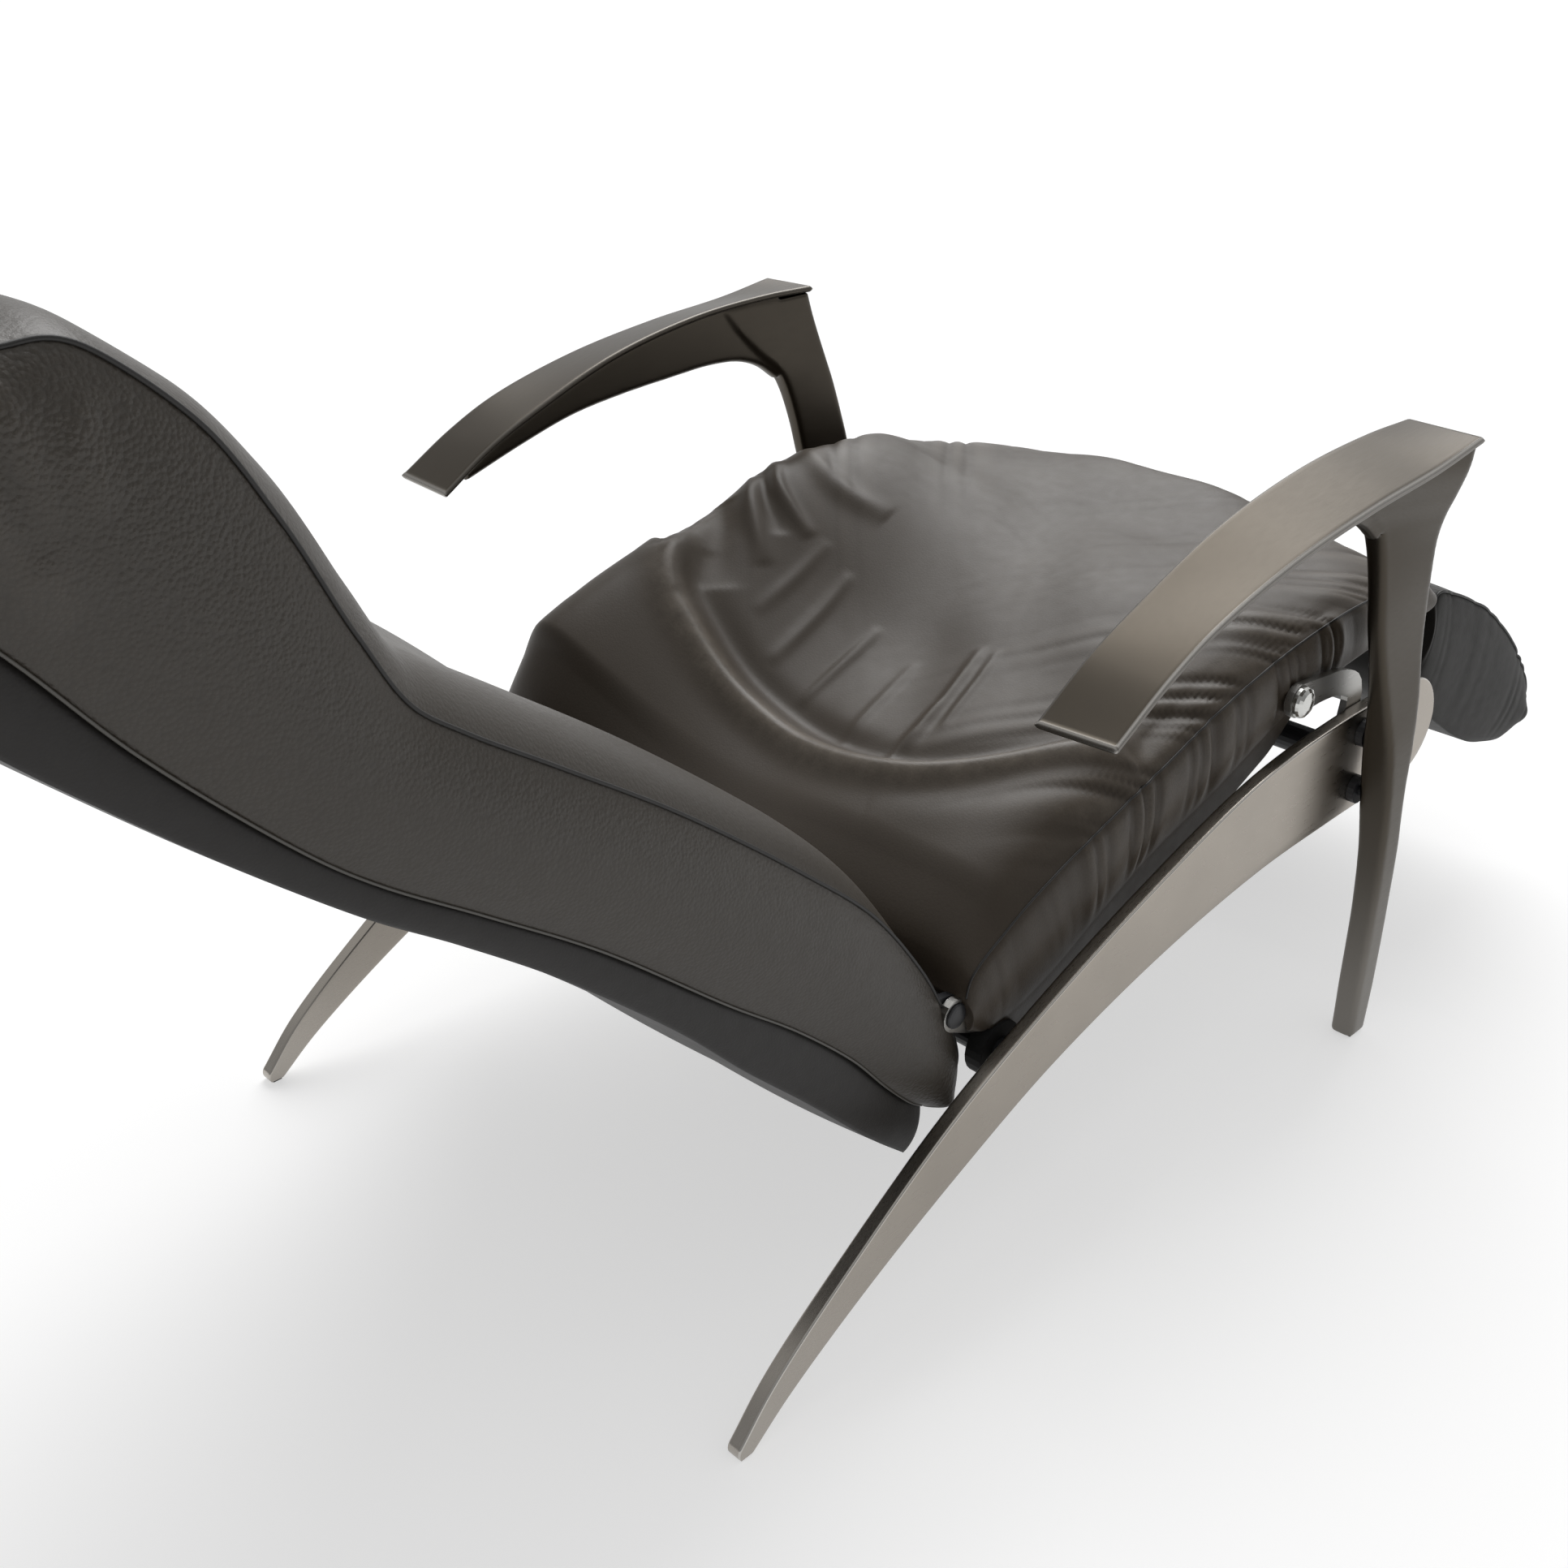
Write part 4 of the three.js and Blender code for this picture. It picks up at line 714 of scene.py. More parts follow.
@dataclass
class SeatCushion:
    """The seat's leather cushion: a broad bolster under the thighs, a sitting hollow and gathered boxing."""

    half_width: float = 0.2715
    side_round: float = 0.006
    skirt: float = 0.0086
    crown: float = 0.103
    middle: float = 0.011
    roll: float = 0.028
    right_side_share: float = 0.3
    lining: float = 0.36
    rows: int = 240
    face_cells: int = 260
    side_cells: int = 20
    seam_radius: float = 0.0009
    end_bulge: tuple = (0.0005, 0.006)
    roof_limits: tuple = (0.12, 0.85)
    ridge_height: float = 0.0105
    ridge_width: float = 0.0135
    trough_depth: float = 0.0045
    trough_place: float = 0.027
    trough_width: float = 0.013
    pocket_depth: float = 0.009
    ripple_height: float = 0.0011
    gather_spacing: float = 0.023
    gather_height: float = 0.0034
    wide_gather_spacing: float = 0.041
    wide_gather_height: float = 0.0062
    side_gather_height: float = 0.007
    top_shares: tuple = (
        (0.979, 0.02), (0.953, 0.056), (0.86, 0.082), (0.767, 0.097), (0.599, 0.105), (0.4, 0.108), (0.2, 0.112),
        (0, 0.098), (-0.2, 0.063), (-0.3, 0.036), (-0.42, -0.004), (-0.52, -0.05), (-0.558, -0.1),
    )
    hem_shares: tuple = (
        (0.982, -0.05), (0.945, -0.082), (0.867, -0.097), (0.749, -0.094), (0.622, -0.075), (0.45, -0.056),
        (0.227, -0.055), (0.011, -0.045), (-0.192, -0.068), (-0.3, -0.088), (-0.4, -0.108), (-0.497, -0.133),
        (-0.53, -0.141),
    )
    bar_shares: tuple = (
        (-0.535, -0.138), (-0.342, -0.078), (0, 0), (0.184, -0.034), (0.393, -0.049), (0.62, -0.06),
        (0.838, -0.08), (0.935, -0.06), (1, 0),
    )
    hollow_edge: tuple = (
        (0.205, 0.53), (0.177, 0.595), (0.129, 0.638), (0.081, 0.67), (0.031, 0.69), (-0.033, 0.711),
        (-0.086, 0.711), (-0.126, 0.688), (-0.157, 0.645), (-0.184, 0.588), (-0.208, 0.525), (-0.236, 0.45),
    )
    folds: tuple = (
        Fold(((0.028, 0.6), (0.031, 0.42), (0.034, 0.34)), 2.2, 5.0),
        Fold(((-0.092, 0.62), (-0.075, 0.43), (-0.062, 0.3)), 3.2, 5.0),
        Fold(((-0.102, 0.55), (-0.088, 0.39), (-0.078, 0.3)), 2.0, 4.0),
        Fold(((-0.086, 0.67), (-0.082, 0.56), (-0.077, 0.48)), 2.2, 4.5),
        Fold(((-0.036, 0.66), (-0.026, 0.5), (-0.018, 0.38)), 1.6, 5.0),
        Fold(((0.074, 0.56), (0.083, 0.373), (0.09, 0.27)), 2.4, 6.0),
        Fold(((0.115, 0.5), (0.119, 0.36), (0.124, 0.24)), 1.6, 6.0),
        Fold(((0.232, 0.13), (0.194, 0.213), (0.163, 0.248), (0.138, 0.265)), 5.0, 7.5),
        Fold(((0.232, 0.22), (0.2, 0.308), (0.17, 0.368), (0.142, 0.41)), 4.5, 8.5),
        Fold(((0.232, 0.03), (0.196, 0.077), (0.157, 0.101), (0.112, 0.08)), 4.6, 13.0),
        Fold(((0.22, 0.45), (0.192, 0.534), (0.16, 0.6)), 3.0, 9.0),
        Fold(((0.222, 0.18), (0.19, 0.265), (0.155, 0.32)), -4.4, 9.0),
        Fold(((0.225, 0.34), (0.19, 0.43), (0.15, 0.52)), -6.0, 16.0),
        Fold(((-0.262, 0.55), (-0.25, 0.6), (-0.2, 0.7), (-0.12, 0.79)), 1.6, 20.0),
    )

    def __post_init__(self) -> None:
        """Works out the section of every row."""
        top = smooth_line(np.array(self.top_shares), self.rows)
        hem = smooth_line(np.array(self.hem_shares), self.rows)
        share = np.linspace(0, 1, self.rows + 1)[:, None]
        u = self.even_shares()
        down = np.linspace(0, 1, self.side_cells + 1)
        edge = self.half_width - self.side_round
        inner_x = self.half_width - self.skirt
        side_x = edge + self.side_round * np.sin(np.pi * down[1:] ** 0.8) ** 0.8 * (1 - 0.1 * down[1:])
        roof = self.roof_level(top, hem)
        up = np.linspace(0, 1, 7)
        lip_x = np.array([edge - 0.0012, edge - 0.0012, inner_x])
        lining = -self.lining * ease(top[:, :1], -0.1, 0.06) * (1 - ease(top[:, :1], 0.86, 0.95))
        lip = lining * np.array([0.1, 1.0, 1.0]) - 0.02 * np.array([1.0, 1.0, 1.0])
        parts = [
            (edge * u, Part.FACE), (side_x, Part.SIDE), (lip_x, Part.HEM), (np.full(5, inner_x), Part.HEM),
            (inner_x * u[::-1], Part.REAR), (np.full(5, -inner_x), Part.HEM), (-lip_x[::-1], Part.HEM),
            (-side_x[::-1], Part.SIDE),
        ]
        levels = [
            np.ones_like(u) + 0 * share, 1 - down[1:] + 0 * share, lip, roof[:, None] * up[1:-1],
            roof[:, None] + 0 * u, roof[:, None] * up[-2:0:-1], lip[:, ::-1], 1 - down[:0:-1] + 0 * share,
        ]
        self.x = np.concatenate([p[0] for p in parts]) + 0 * share
        self.level = np.concatenate(levels, 1)
        self.part = np.concatenate([np.full(len(p[0]), p[1].value) for p in parts])
        self.share = share + 0 * self.x
        self.top, self.hem = SEAT.place(top), SEAT.place(hem)
        self.along = top[:, :1] + 0 * self.x

    def even_shares(self) -> np.ndarray:
        """Spreads the face's columns evenly over the curved length of a section at its fullest."""
        fine = np.linspace(-1, 1, 4001)
        height = self.crown * (1 - fine**12) - (self.crown - self.middle) * (1 - fine**2) ** 2
        length = np.concatenate([[0], np.cumsum(np.hypot(np.diff(height), np.diff(fine) * self.half_width))])
        return np.interp(np.linspace(0, length[-1], self.face_cells + 1), length, fine)

    def roof_level(self, top: np.ndarray, hem: np.ndarray) -> np.ndarray:
        """Finds how far up each section the frame's recess reaches.

        The roof lies just over the side bars: along each section's line from hem to seam, the level is where
        the height passes that of the bar's upper edge.

        Args:
            top: the seam's places in shares.
            hem: the hem's places in shares.

        Returns:
            A level for each row.
        """
        bar = smooth_line(np.array(self.bar_shares), 200)
        over = 0.012 / SEAT_SPAN
        levels = np.linspace(0, 1, 101)
        u = hem[:, :1] + levels * (top[:, :1] - hem[:, :1])
        v = hem[:, 1:] + levels * (top[:, 1:] - hem[:, 1:])
        roof = np.interp(u, bar[:, 0], bar[:, 1]) + over
        found = np.argmax(v > roof, axis=1)
        level = np.where((v > roof).any(1), levels[found], self.roof_limits[1])
        kernel = np.ones(9) / 9
        smooth = np.convolve(np.pad(level, 4, mode="edge"), kernel, "valid")
        return np.clip(smooth, *self.roof_limits)

    def base_lift(self) -> np.ndarray:
        """The face's crown and hollow: a pillow in x, with a round dish where one sits."""
        u = np.clip(self.x / (self.half_width - self.side_round), -1, 1)
        rear = ease(self.share, 0, 0.22)
        side = self.crown * rear * (1 - ease(self.share, 0.4, 0.95) * 0.9)
        side = side * (1 - (1 - self.right_side_share) * ease(-u, -0.2, 0.75))
        roll = self.roll * ease(self.share, 0.68, 0.96) * (1 - ease(self.share, 0.9, 1))
        lift = side * (1 - u**12) - (side - self.middle * rear - roll) * (1 - u * u) ** 2
        return np.where(self.part == Part.FACE.value, lift, 0)

    def detail(self, from_seam: np.ndarray) -> tuple[np.ndarray, np.ndarray]:
        """The folds of the face and the gathers along its seams.

        Args:
            from_seam: for each point of the face, the way over the leather to the nearer side seam.

        Returns:
            The move along the normal, and the wear.
        """
        face = self.part == Part.FACE.value
        side = self.part == Part.SIDE.value
        s = self.along * SEAT_SPAN
        path = smooth_line(np.array([(x, u * SEAT_SPAN) for x, u in self.hollow_edge]), 60)
        far, share = line_distance(self.x, s, path)
        ends = np.clip(np.sin(np.pi * share), 0, 1) ** 0.35
        within = np.where(s < np.interp(self.x, path[::-1, 0], path[::-1, 1]), 1.0, 0.0)
        ridge = self.ridge_height * ends * bell(far, self.ridge_width)
        ridge = ridge - self.trough_depth * within * ends * bell(far - self.trough_place, self.trough_width)
        pocket = -self.pocket_depth * within * ease(far, 0.0, 0.03) * ease(self.along, -0.05, 0.35)
        lift = ridge + pocket
        for fold in self.folds:
            drawn = Fold(tuple((x, u * SEAT_SPAN) for x, u in fold.path), fold.height_mm, fold.width_mm)
            lift = lift + drawn.lift(self.x, s)
        ripple = self.ripple_height * np.sin(2 * np.pi * (self.x * 8 + s * 6))
        lift = lift + ripple * within * ease(far, 0.01, 0.05)
        lift = np.where(face, lift * ease(from_seam, 0, 0.03), 0)
        hand = np.sign(self.x)
        lean = s - 0.9 * from_seam
        wave = gathers(np.where(face, lean, s), self.gather_spacing, 1.3 + hand)
        wide = gathers(lean, self.wide_gather_spacing, 4.1 + 2 * hand)
        front = 1 - ease(self.along, 0.5, 0.8)
        on_face = np.where(face, front * (np.exp(-from_seam / 0.02) * self.gather_height * wave
                                          + np.exp(-from_seam / 0.07) * self.wide_gather_height * wide
                                          * ease(from_seam, 0, 0.012)), 0)
        down = np.clip(1 - self.level, 0, 1)
        strength = (0.12 + 0.88 * front) * self.side_gather_height
        on_side = np.where(side, strength * wave * np.sin(np.pi * down**0.6) ** 0.7, 0)
        wear = np.clip(ridge / 0.008, 0, 1) + np.clip((on_face + on_side) / 0.001, 0, 0.5)
        return lift + on_face + on_side, np.clip(wear, 0, 1)

    def build(self) -> bpy.types.Object:
        """Makes the cushion and says what it stands for.

        Returns:
            The cushion.
        """
        span = self.top - self.hem
        rise = span / np.linalg.norm(span, axis=1, keepdims=True)
        lift = self.base_lift()
        flat = self.hem[:, None] + self.level[..., None] * span[:, None] + lift[..., None] * rise[:, None]
        grid = np.concatenate([self.x[..., None], flat], -1)
        normal = outward_normals(grid, rise[self.rows // 2], self.face_cells // 2)
        steps = np.linalg.norm(np.diff(grid[:, : self.face_cells + 1], axis=1), axis=2)
        way = np.concatenate([np.zeros((len(grid), 1)), np.cumsum(steps, 1)], 1)
        from_seam = np.zeros(grid.shape[:2])
        from_seam[:, : self.face_cells + 1] = np.minimum(way, way[:, -1:] - way)
        total, wear = self.detail(from_seam)
        grid = grid + normal * total[..., None]
        self.seam = grid
        grid = round_ends(grid, self.end_bulge)
        wear = padded_rows(wear)
        coarse = np.where(self.part == Part.FACE.value, 0.35, 0.6) + 0 * wear
        piece = skin_piece("seat_leather", grid, {"wear": wear, "grain": coarse}, PAD_WELD)
        SEAT_LEATHER.dress(piece)
        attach(piece, "seat")
        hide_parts("seat_cushion")
        return piece

    def build_seams(self) -> list[bpy.types.Object]:
        """Lays a fine dark seam along each side between the face and its boxing."""
        pieces = []
        for name, column in (("left", self.face_cells), ("right", 0)):
            path = self.seam[3:-3, column]
            piece = tube_piece(f"seat_seam_{name}", path, self.seam_radius, 8)
            WELT_LEATHER.dress(piece)
            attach(piece, "seat")
            pieces.append(piece)
        return pieces


@dataclass
class BackPad:
    """The tall back: a padded front face, pebbled gussets between two welted seams, and a leather rear shell."""

    half_width: float = 0.2619
    shell_half_width: float = 0.2559
    side_round: float = 0.006
    puff: float = 0.007
    crown: float = 0.026
    dish: float = 0.014
    shell_crown: float = 0.010
    rows: int = 208
    face_cells: int = 110
    side_cells: int = 34
    welt_radius: float = 0.0013
    piping_radius: float = 0.0009
    gusset_depth: float = 0.11
    end_bulge: tuple = (0.006, 0.008)
    shell_side_cells: int = 14
    shell_side_round: float = 0.005
    shell_end_bulge: tuple = (0.004, 0.004)
    front_shares: tuple = (
        (-0.061, -0.264), (-0.042, -0.124), (0.009, -0.011), (0.073, 0.076), (0.162, 0.126), (0.262, 0.082),
        (0.405, -0.024), (0.519, -0.148), (0.598, -0.238), (0.635, -0.264), (0.691, -0.191), (0.77, -0.051),
        (0.834, 0.022), (0.893, -0.001), (0.927, -0.138), (0.95, -0.318),
    )
    rear_shares: tuple = (
        (-0.039, -0.418), (-0.019, -0.439), (0.024, -0.441), (0.086, -0.424), (0.168, -0.448), (0.256, -0.51),
        (0.398, -0.588), (0.504, -0.69), (0.586, -0.775), (0.628, -0.8), (0.689, -0.807), (0.763, -0.795),
        (0.834, -0.751), (0.887, -0.724), (0.919, -0.664), (0.94, -0.558),
    )
    shell_shares: tuple = (
        (-0.06, -0.651), (-0.006, -0.674), (0.097, -0.681), (0.191, -0.698), (0.276, -0.698), (0.412, -0.748),
        (0.504, -0.818), (0.58, -0.891), (0.677, -0.944), (0.753, -0.968), (0.819, -0.978), (0.881, -0.958),
        (0.928, -0.878), (0.958, -0.718),
    )
    head_folds: tuple = (
        Fold(((0.95, 0.12), (0.9, 0.35), (0.84, 0.62)), 2.6, 9.0),
        Fold(((0.93, 0.3), (0.885, 0.5), (0.83, 0.72)), -3.0, 9.0),
        Fold(((0.92, 0.5), (0.88, 0.62), (0.8, 0.8)), 2.4, 10.0),
        Fold(((0.86, 0.12), (0.85, 0.3), (0.82, 0.42)), 1.5, 8.0),
    )

    def build(self) -> list[bpy.types.Object]:
        """Makes the pad, its welts, and the shell behind it.

        Returns:
            The pieces.
        """
        outer = BACK.place(smooth_line(np.array(self.front_shares), self.rows))
        inner = BACK.place(smooth_line(np.array(self.rear_shares), self.rows))
        columns = Columns.closed_pad(self.face_cells, self.side_cells)
        share = np.linspace(0, 1, self.rows + 1)[:, None]
        rise = ease(share, 0.12, 0.34) * (1 - ease(share, 0.93, 1) * 0.6)
        crown = self.crown * rise * (1 - ease(share, 0.68, 0.86) * 0.6)
        face = columns.part == Part.FACE.value
        lift = np.where(face, crown * (1 - columns.x_share**12) - self.dish * rise * (1 - columns.x_share**2) ** 2, 0)
        skin = PadSkin(outer, inner, self.half_width + self.puff, self.side_round + self.puff, columns, lift)
        grid = skin.grid()
        normal = outward_normals(grid, (outer - inner)[self.rows // 2], self.face_cells // 2)
        side = columns.part == Part.SIDE.value
        depth = 1 - skin.level
        wrinkle = np.zeros_like(skin.x)
        for fold in self.head_folds:
            path = tuple((a * BACK.length, d * self.gusset_depth) for a, d in fold.path)
            drawn = Fold(path, fold.height_mm, fold.width_mm)
            wrinkle += drawn.lift(skin.share * BACK.length, depth * self.gusset_depth)
        wrinkle = np.where(side, wrinkle, 0)
        grid = grid + normal * wrinkle[..., None]
        closed = round_ends(grid, self.end_bulge)
        wear = padded_rows(np.clip(wrinkle / 0.003, 0, 0.6))
        coarse = padded_rows(np.where(side, 0.55 + 0.45 * ease(skin.share, 0.55, 0.8), 0.35))
        pad = skin_piece("back_leather", closed, {"wear": wear, "grain": coarse}, PAD_WELD)
        GUSSET_LEATHER.dress(pad)
        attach(pad, "back")
        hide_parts("back_pad")
        pieces = [pad, self.build_shell()]
        edge = self.half_width - self.side_round
        for name, sign in SIDES:
            for kind, path, radius, finish, first, last in (
                ("front_welt", outer, self.welt_radius, WELT_LEATHER, 4, self.rows - 2),
                # The rear piping is lighter than the gusset: painted highlight along the rear seam.
                ("rear_piping", inner, self.piping_radius, PIPING_PAINTED_HIGHLIGHT, 2, self.rows - 6),
            ):
                line = np.column_stack([np.full(len(path), sign * (edge + radius * 0.35)), path])[first:last]
                piece = tube_piece(f"back_{kind}_{name}", line, radius)
                finish.dress(piece)
                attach(piece, "back")
                pieces.append(piece)
        return pieces

    def build_shell(self) -> bpy.types.Object:
        """Makes the leather-covered rear panel between the rear seam and the back's outline."""
        rear = np.array(self.rear_shares)
        shell = np.array(self.shell_shares)
        seam_u = np.clip(shell[:, 0], rear[0, 0], 0.936)
        seam = np.column_stack([seam_u, np.interp(seam_u, rear[:, 0], rear[:, 1]) + 0.02])
        outer = BACK.place(smooth_line(seam, self.rows))
        inner = BACK.place(smooth_line(shell, self.rows))
        columns = Columns.closed_pad(self.face_cells, self.shell_side_cells)
        share = np.linspace(0, 1, self.rows + 1)[:, None]
        ends = ease(share, 0, 0.1) * (1 - ease(share, 0.9, 1))
        lift = np.where(columns.part == Part.REAR.value, -self.shell_crown * ends * (1 - columns.x_share**4), 0)
        skin = PadSkin(outer, inner, self.shell_half_width, self.shell_side_round, columns, lift)
        grid = round_ends(skin.grid(), self.shell_end_bulge)
        flat = np.zeros(grid.shape[:2])
        piece = skin_piece("back_shell_leather", grid, {"wear": flat, "grain": flat + 0.5}, PAD_WELD)
        SHELL_LEATHER.dress(piece)
        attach(piece, "back")
        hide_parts("back_shell")
        return piece


@dataclass
class LegrestPad:
    """The leg rest: a thick leather pad whose upper edge is gathered into a seam."""

    half_width: float = 0.268
    side_round: float = 0.007
    crown: float = 0.01
    rows: int = 90
    face_cells: int = 110
    side_cells: int = 18
    end_bulge: tuple = (0.0005, 0.008)
    gather_spacing: float = 0.031
    gather_height: float = 0.0022
    side_gather_height: float = 0.0008
    seam_radius: float = 0.0012
    top_shares: tuple = (
        (0.053, 0.15), (0.078, 0.265), (0.155, 0.336), (0.387, 0.472), (0.604, 0.471), (0.776, 0.393),
        (0.901, 0.285), (0.973, 0.123),
    )
    under_shares: tuple = (
        (0.135, -0.38), (0.193, -0.54), (0.302, -0.645), (0.481, -0.655), (0.658, -0.615), (0.797, -0.49),
        (0.901, -0.355), (0.971, -0.14),
    )

    def build(self) -> list[bpy.types.Object]:
        """Makes the pad and its seams.

        Returns:
            The pieces.
        """
        outer = LEGREST.place(smooth_line(np.array(self.top_shares), self.rows))
        inner = LEGREST.place(smooth_line(np.array(self.under_shares), self.rows))
        columns = Columns.closed_pad(self.face_cells, self.side_cells)
        share = np.linspace(0, 1, self.rows + 1)[:, None]
        ends = ease(share, 0.12, 0.5) * (1 - ease(share, 0.75, 1))
        lift = np.where(columns.part == Part.FACE.value, self.crown * ends * (1 - columns.x_share**6), 0)
        skin = PadSkin(outer, inner, self.half_width, self.side_round, columns, lift)
        grid = skin.grid()
        normal = outward_normals(grid, (outer - inner)[self.rows // 2], self.face_cells // 2)
        face = columns.part == Part.FACE.value
        side = columns.part == Part.SIDE.value
        edge = self.half_width - self.side_round
        from_seam = edge - np.abs(skin.x)
        wave = gathers(skin.share * 0.33 + 0.3 * from_seam, self.gather_spacing, 0.7)
        total = np.where(face, self.gather_height * wave * np.exp(-np.clip(from_seam, 0, 1) / 0.025), 0)
        round_side = np.sin(np.pi * np.clip(1 - skin.level, 0, 1)) ** 0.7
        total = total + np.where(side, self.side_gather_height * wave * round_side, 0)
        grid = grid + normal * total[..., None]
        closed = round_ends(grid, self.end_bulge)
        wear = padded_rows(np.clip(total / 0.001, 0, 0.5))
        coarse = np.full(closed.shape[:2], 0.45)
        pad = skin_piece("legrest_leather", closed, {"wear": wear, "grain": coarse}, PAD_WELD)
        # Dressed in the leather painted darker, as painted shade.
        LEGREST_LEATHER_PAINTED_SHADE.dress(pad)
        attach(pad, "legrest")
        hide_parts("legrest_pad")
        pieces = [pad]
        for name, column in (("left", self.face_cells), ("right", 0)):
            piece = tube_piece(f"legrest_seam_{name}", grid[2:-2, column], self.seam_radius, 8)
            WELT_LEATHER.dress(piece)
            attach(piece, "legrest")
            pieces.append(piece)
        return pieces


# ---------------------------------------------------------------------------------------------- metal frame


DRAWN_HINGE_Y = 0.47208
"""Where the hinge of seat and back stands in the drawing that the rails and arms are given in."""

FRAME_SHIFT = float(HINGE[0] - DRAWN_HINGE_Y)


@dataclass
class SideRail:
    """The bowed flat rail on each side, from its round nose in front to its foot behind."""

    nose_y: float = -0.091
    span: float = 0.791
    height: float = 0.300
    depth: float = 0.093
    inner_x: float = 0.279
    thickness: float = 0.012
    edge: float = 0.0018
    foot_z: float = 0.002
    rows: int = 170
    path_shares: tuple = (
        (0, 0.847, 0.989), (0.15, 0.848, 1), (0.29, 0.826, 0.935), (0.466, 0.729, 0.735), (0.625, 0.599, 0.594),
        (0.741, 0.468, 0.53), (0.861, 0.294, 0.38), (0.957, 0.127, 0.262), (1, 0.023, 0.17),
    )

    def stations(self) -> np.ndarray:
        """Gives (y, z, half depth) along the rail, with round ends of the same curve."""
        table = np.array(self.path_shares) * (self.span, self.height, self.depth / 2) + (
            self.nose_y + FRAME_SHIFT, 0, 0)
        line = smooth_line(table, self.rows)
        turn = np.linspace(0, np.pi / 2, 10)[1:]
        ends = []
        for point, step in ((line[0], line[0] - line[1]), (line[-1], line[-1] - line[-2])):
            way = step[:2] / np.linalg.norm(step[:2])
            ends.append(np.column_stack([point[:2] + way * point[2] * np.sin(turn)[:, None],
                                         point[2] * np.cos(turn)]))
        return np.vstack([ends[0][::-1], line, ends[1]])

    def build(self) -> list[bpy.types.Object]:
        """Makes both rails.

        A section is a flat bar whose corners are rounded by the edge radius; the bar's depth follows the
        stations.

        Returns:
            The pieces.
        """
        line = self.stations()
        tangent = np.gradient(line[:, :2], axis=0)
        tangent /= np.linalg.norm(tangent, axis=1, keepdims=True)
        across = np.column_stack([-tangent[:, 1], tangent[:, 0]])
        turn = np.linspace(0, np.pi / 2, 5)
        half = line[:, 2:3]
        radius = np.minimum(self.edge, half)
        middle_x = self.inner_x + self.thickness / 2
        wide = self.thickness / 2
        corners = []
        bright = []
        for sx, sw, angles, level, end, cells, glow in (
            (1, 1, turn, True, -1, 8, 0.06), (-1, 1, turn[::-1], False, -1, 10, 0.0),
            (-1, -1, turn, True, 1, 8, 0.05), (1, -1, turn[::-1], False, 1, 10, 0.0),
        ):
            corners.append(np.stack([
                np.broadcast_to(sx * (wide - radius + radius * np.cos(angles)), (len(line), 5)),
                sw * (half - radius + radius * np.sin(angles)),
            ], -1))
            # The rounded corners mix towards bright metal: partly polished edges, partly painted highlight, strongest
            # on the upper outer corner, which faces the light.
            bright.append(np.abs(np.sin(2 * angles)) ** 0.5 * (0.8 if sw > 0 and sx > 0 else 0.2))
            step = np.linspace(-end, end, cells + 1)[1:-1] + 0 * half
            flat = [step * (wide - radius), sw * half + 0 * step] if level else [
                sx * wide + 0 * step, step * (half - radius)]
            corners.append(np.stack(flat, -1))
            bright.append(np.full(cells - 1, glow))
        section = np.concatenate(corners, 1)
        # Painted light: the whole section brightens towards the rail's foot near the floor.
        foot_painted_light = ease(np.linspace(0, 1, len(line)), 0.6, 1)[:, None] * 0.35
        polish_and_painted_highlight = np.clip(np.concatenate(bright) + foot_painted_light, 0, 1)
        flat = line[:, None, :2] + section[..., 1:2] * across[:, None]
        flat[..., 1] = np.maximum(flat[..., 1], self.foot_z)
        pieces = []
        for name, sign in SIDES:
            x = sign * (middle_x + section[..., 0])
            grid = np.concatenate([x[..., None], flat], -1)
            piece = skin_piece(f"rail_body_{name}", grid, {"edge": polish_and_painted_highlight}, METAL_WELD)
            RAIL_METAL.dress(piece)
            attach(piece, "base")
            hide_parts(f"side_rail_{name}")
            pieces.append(piece)
        return pieces


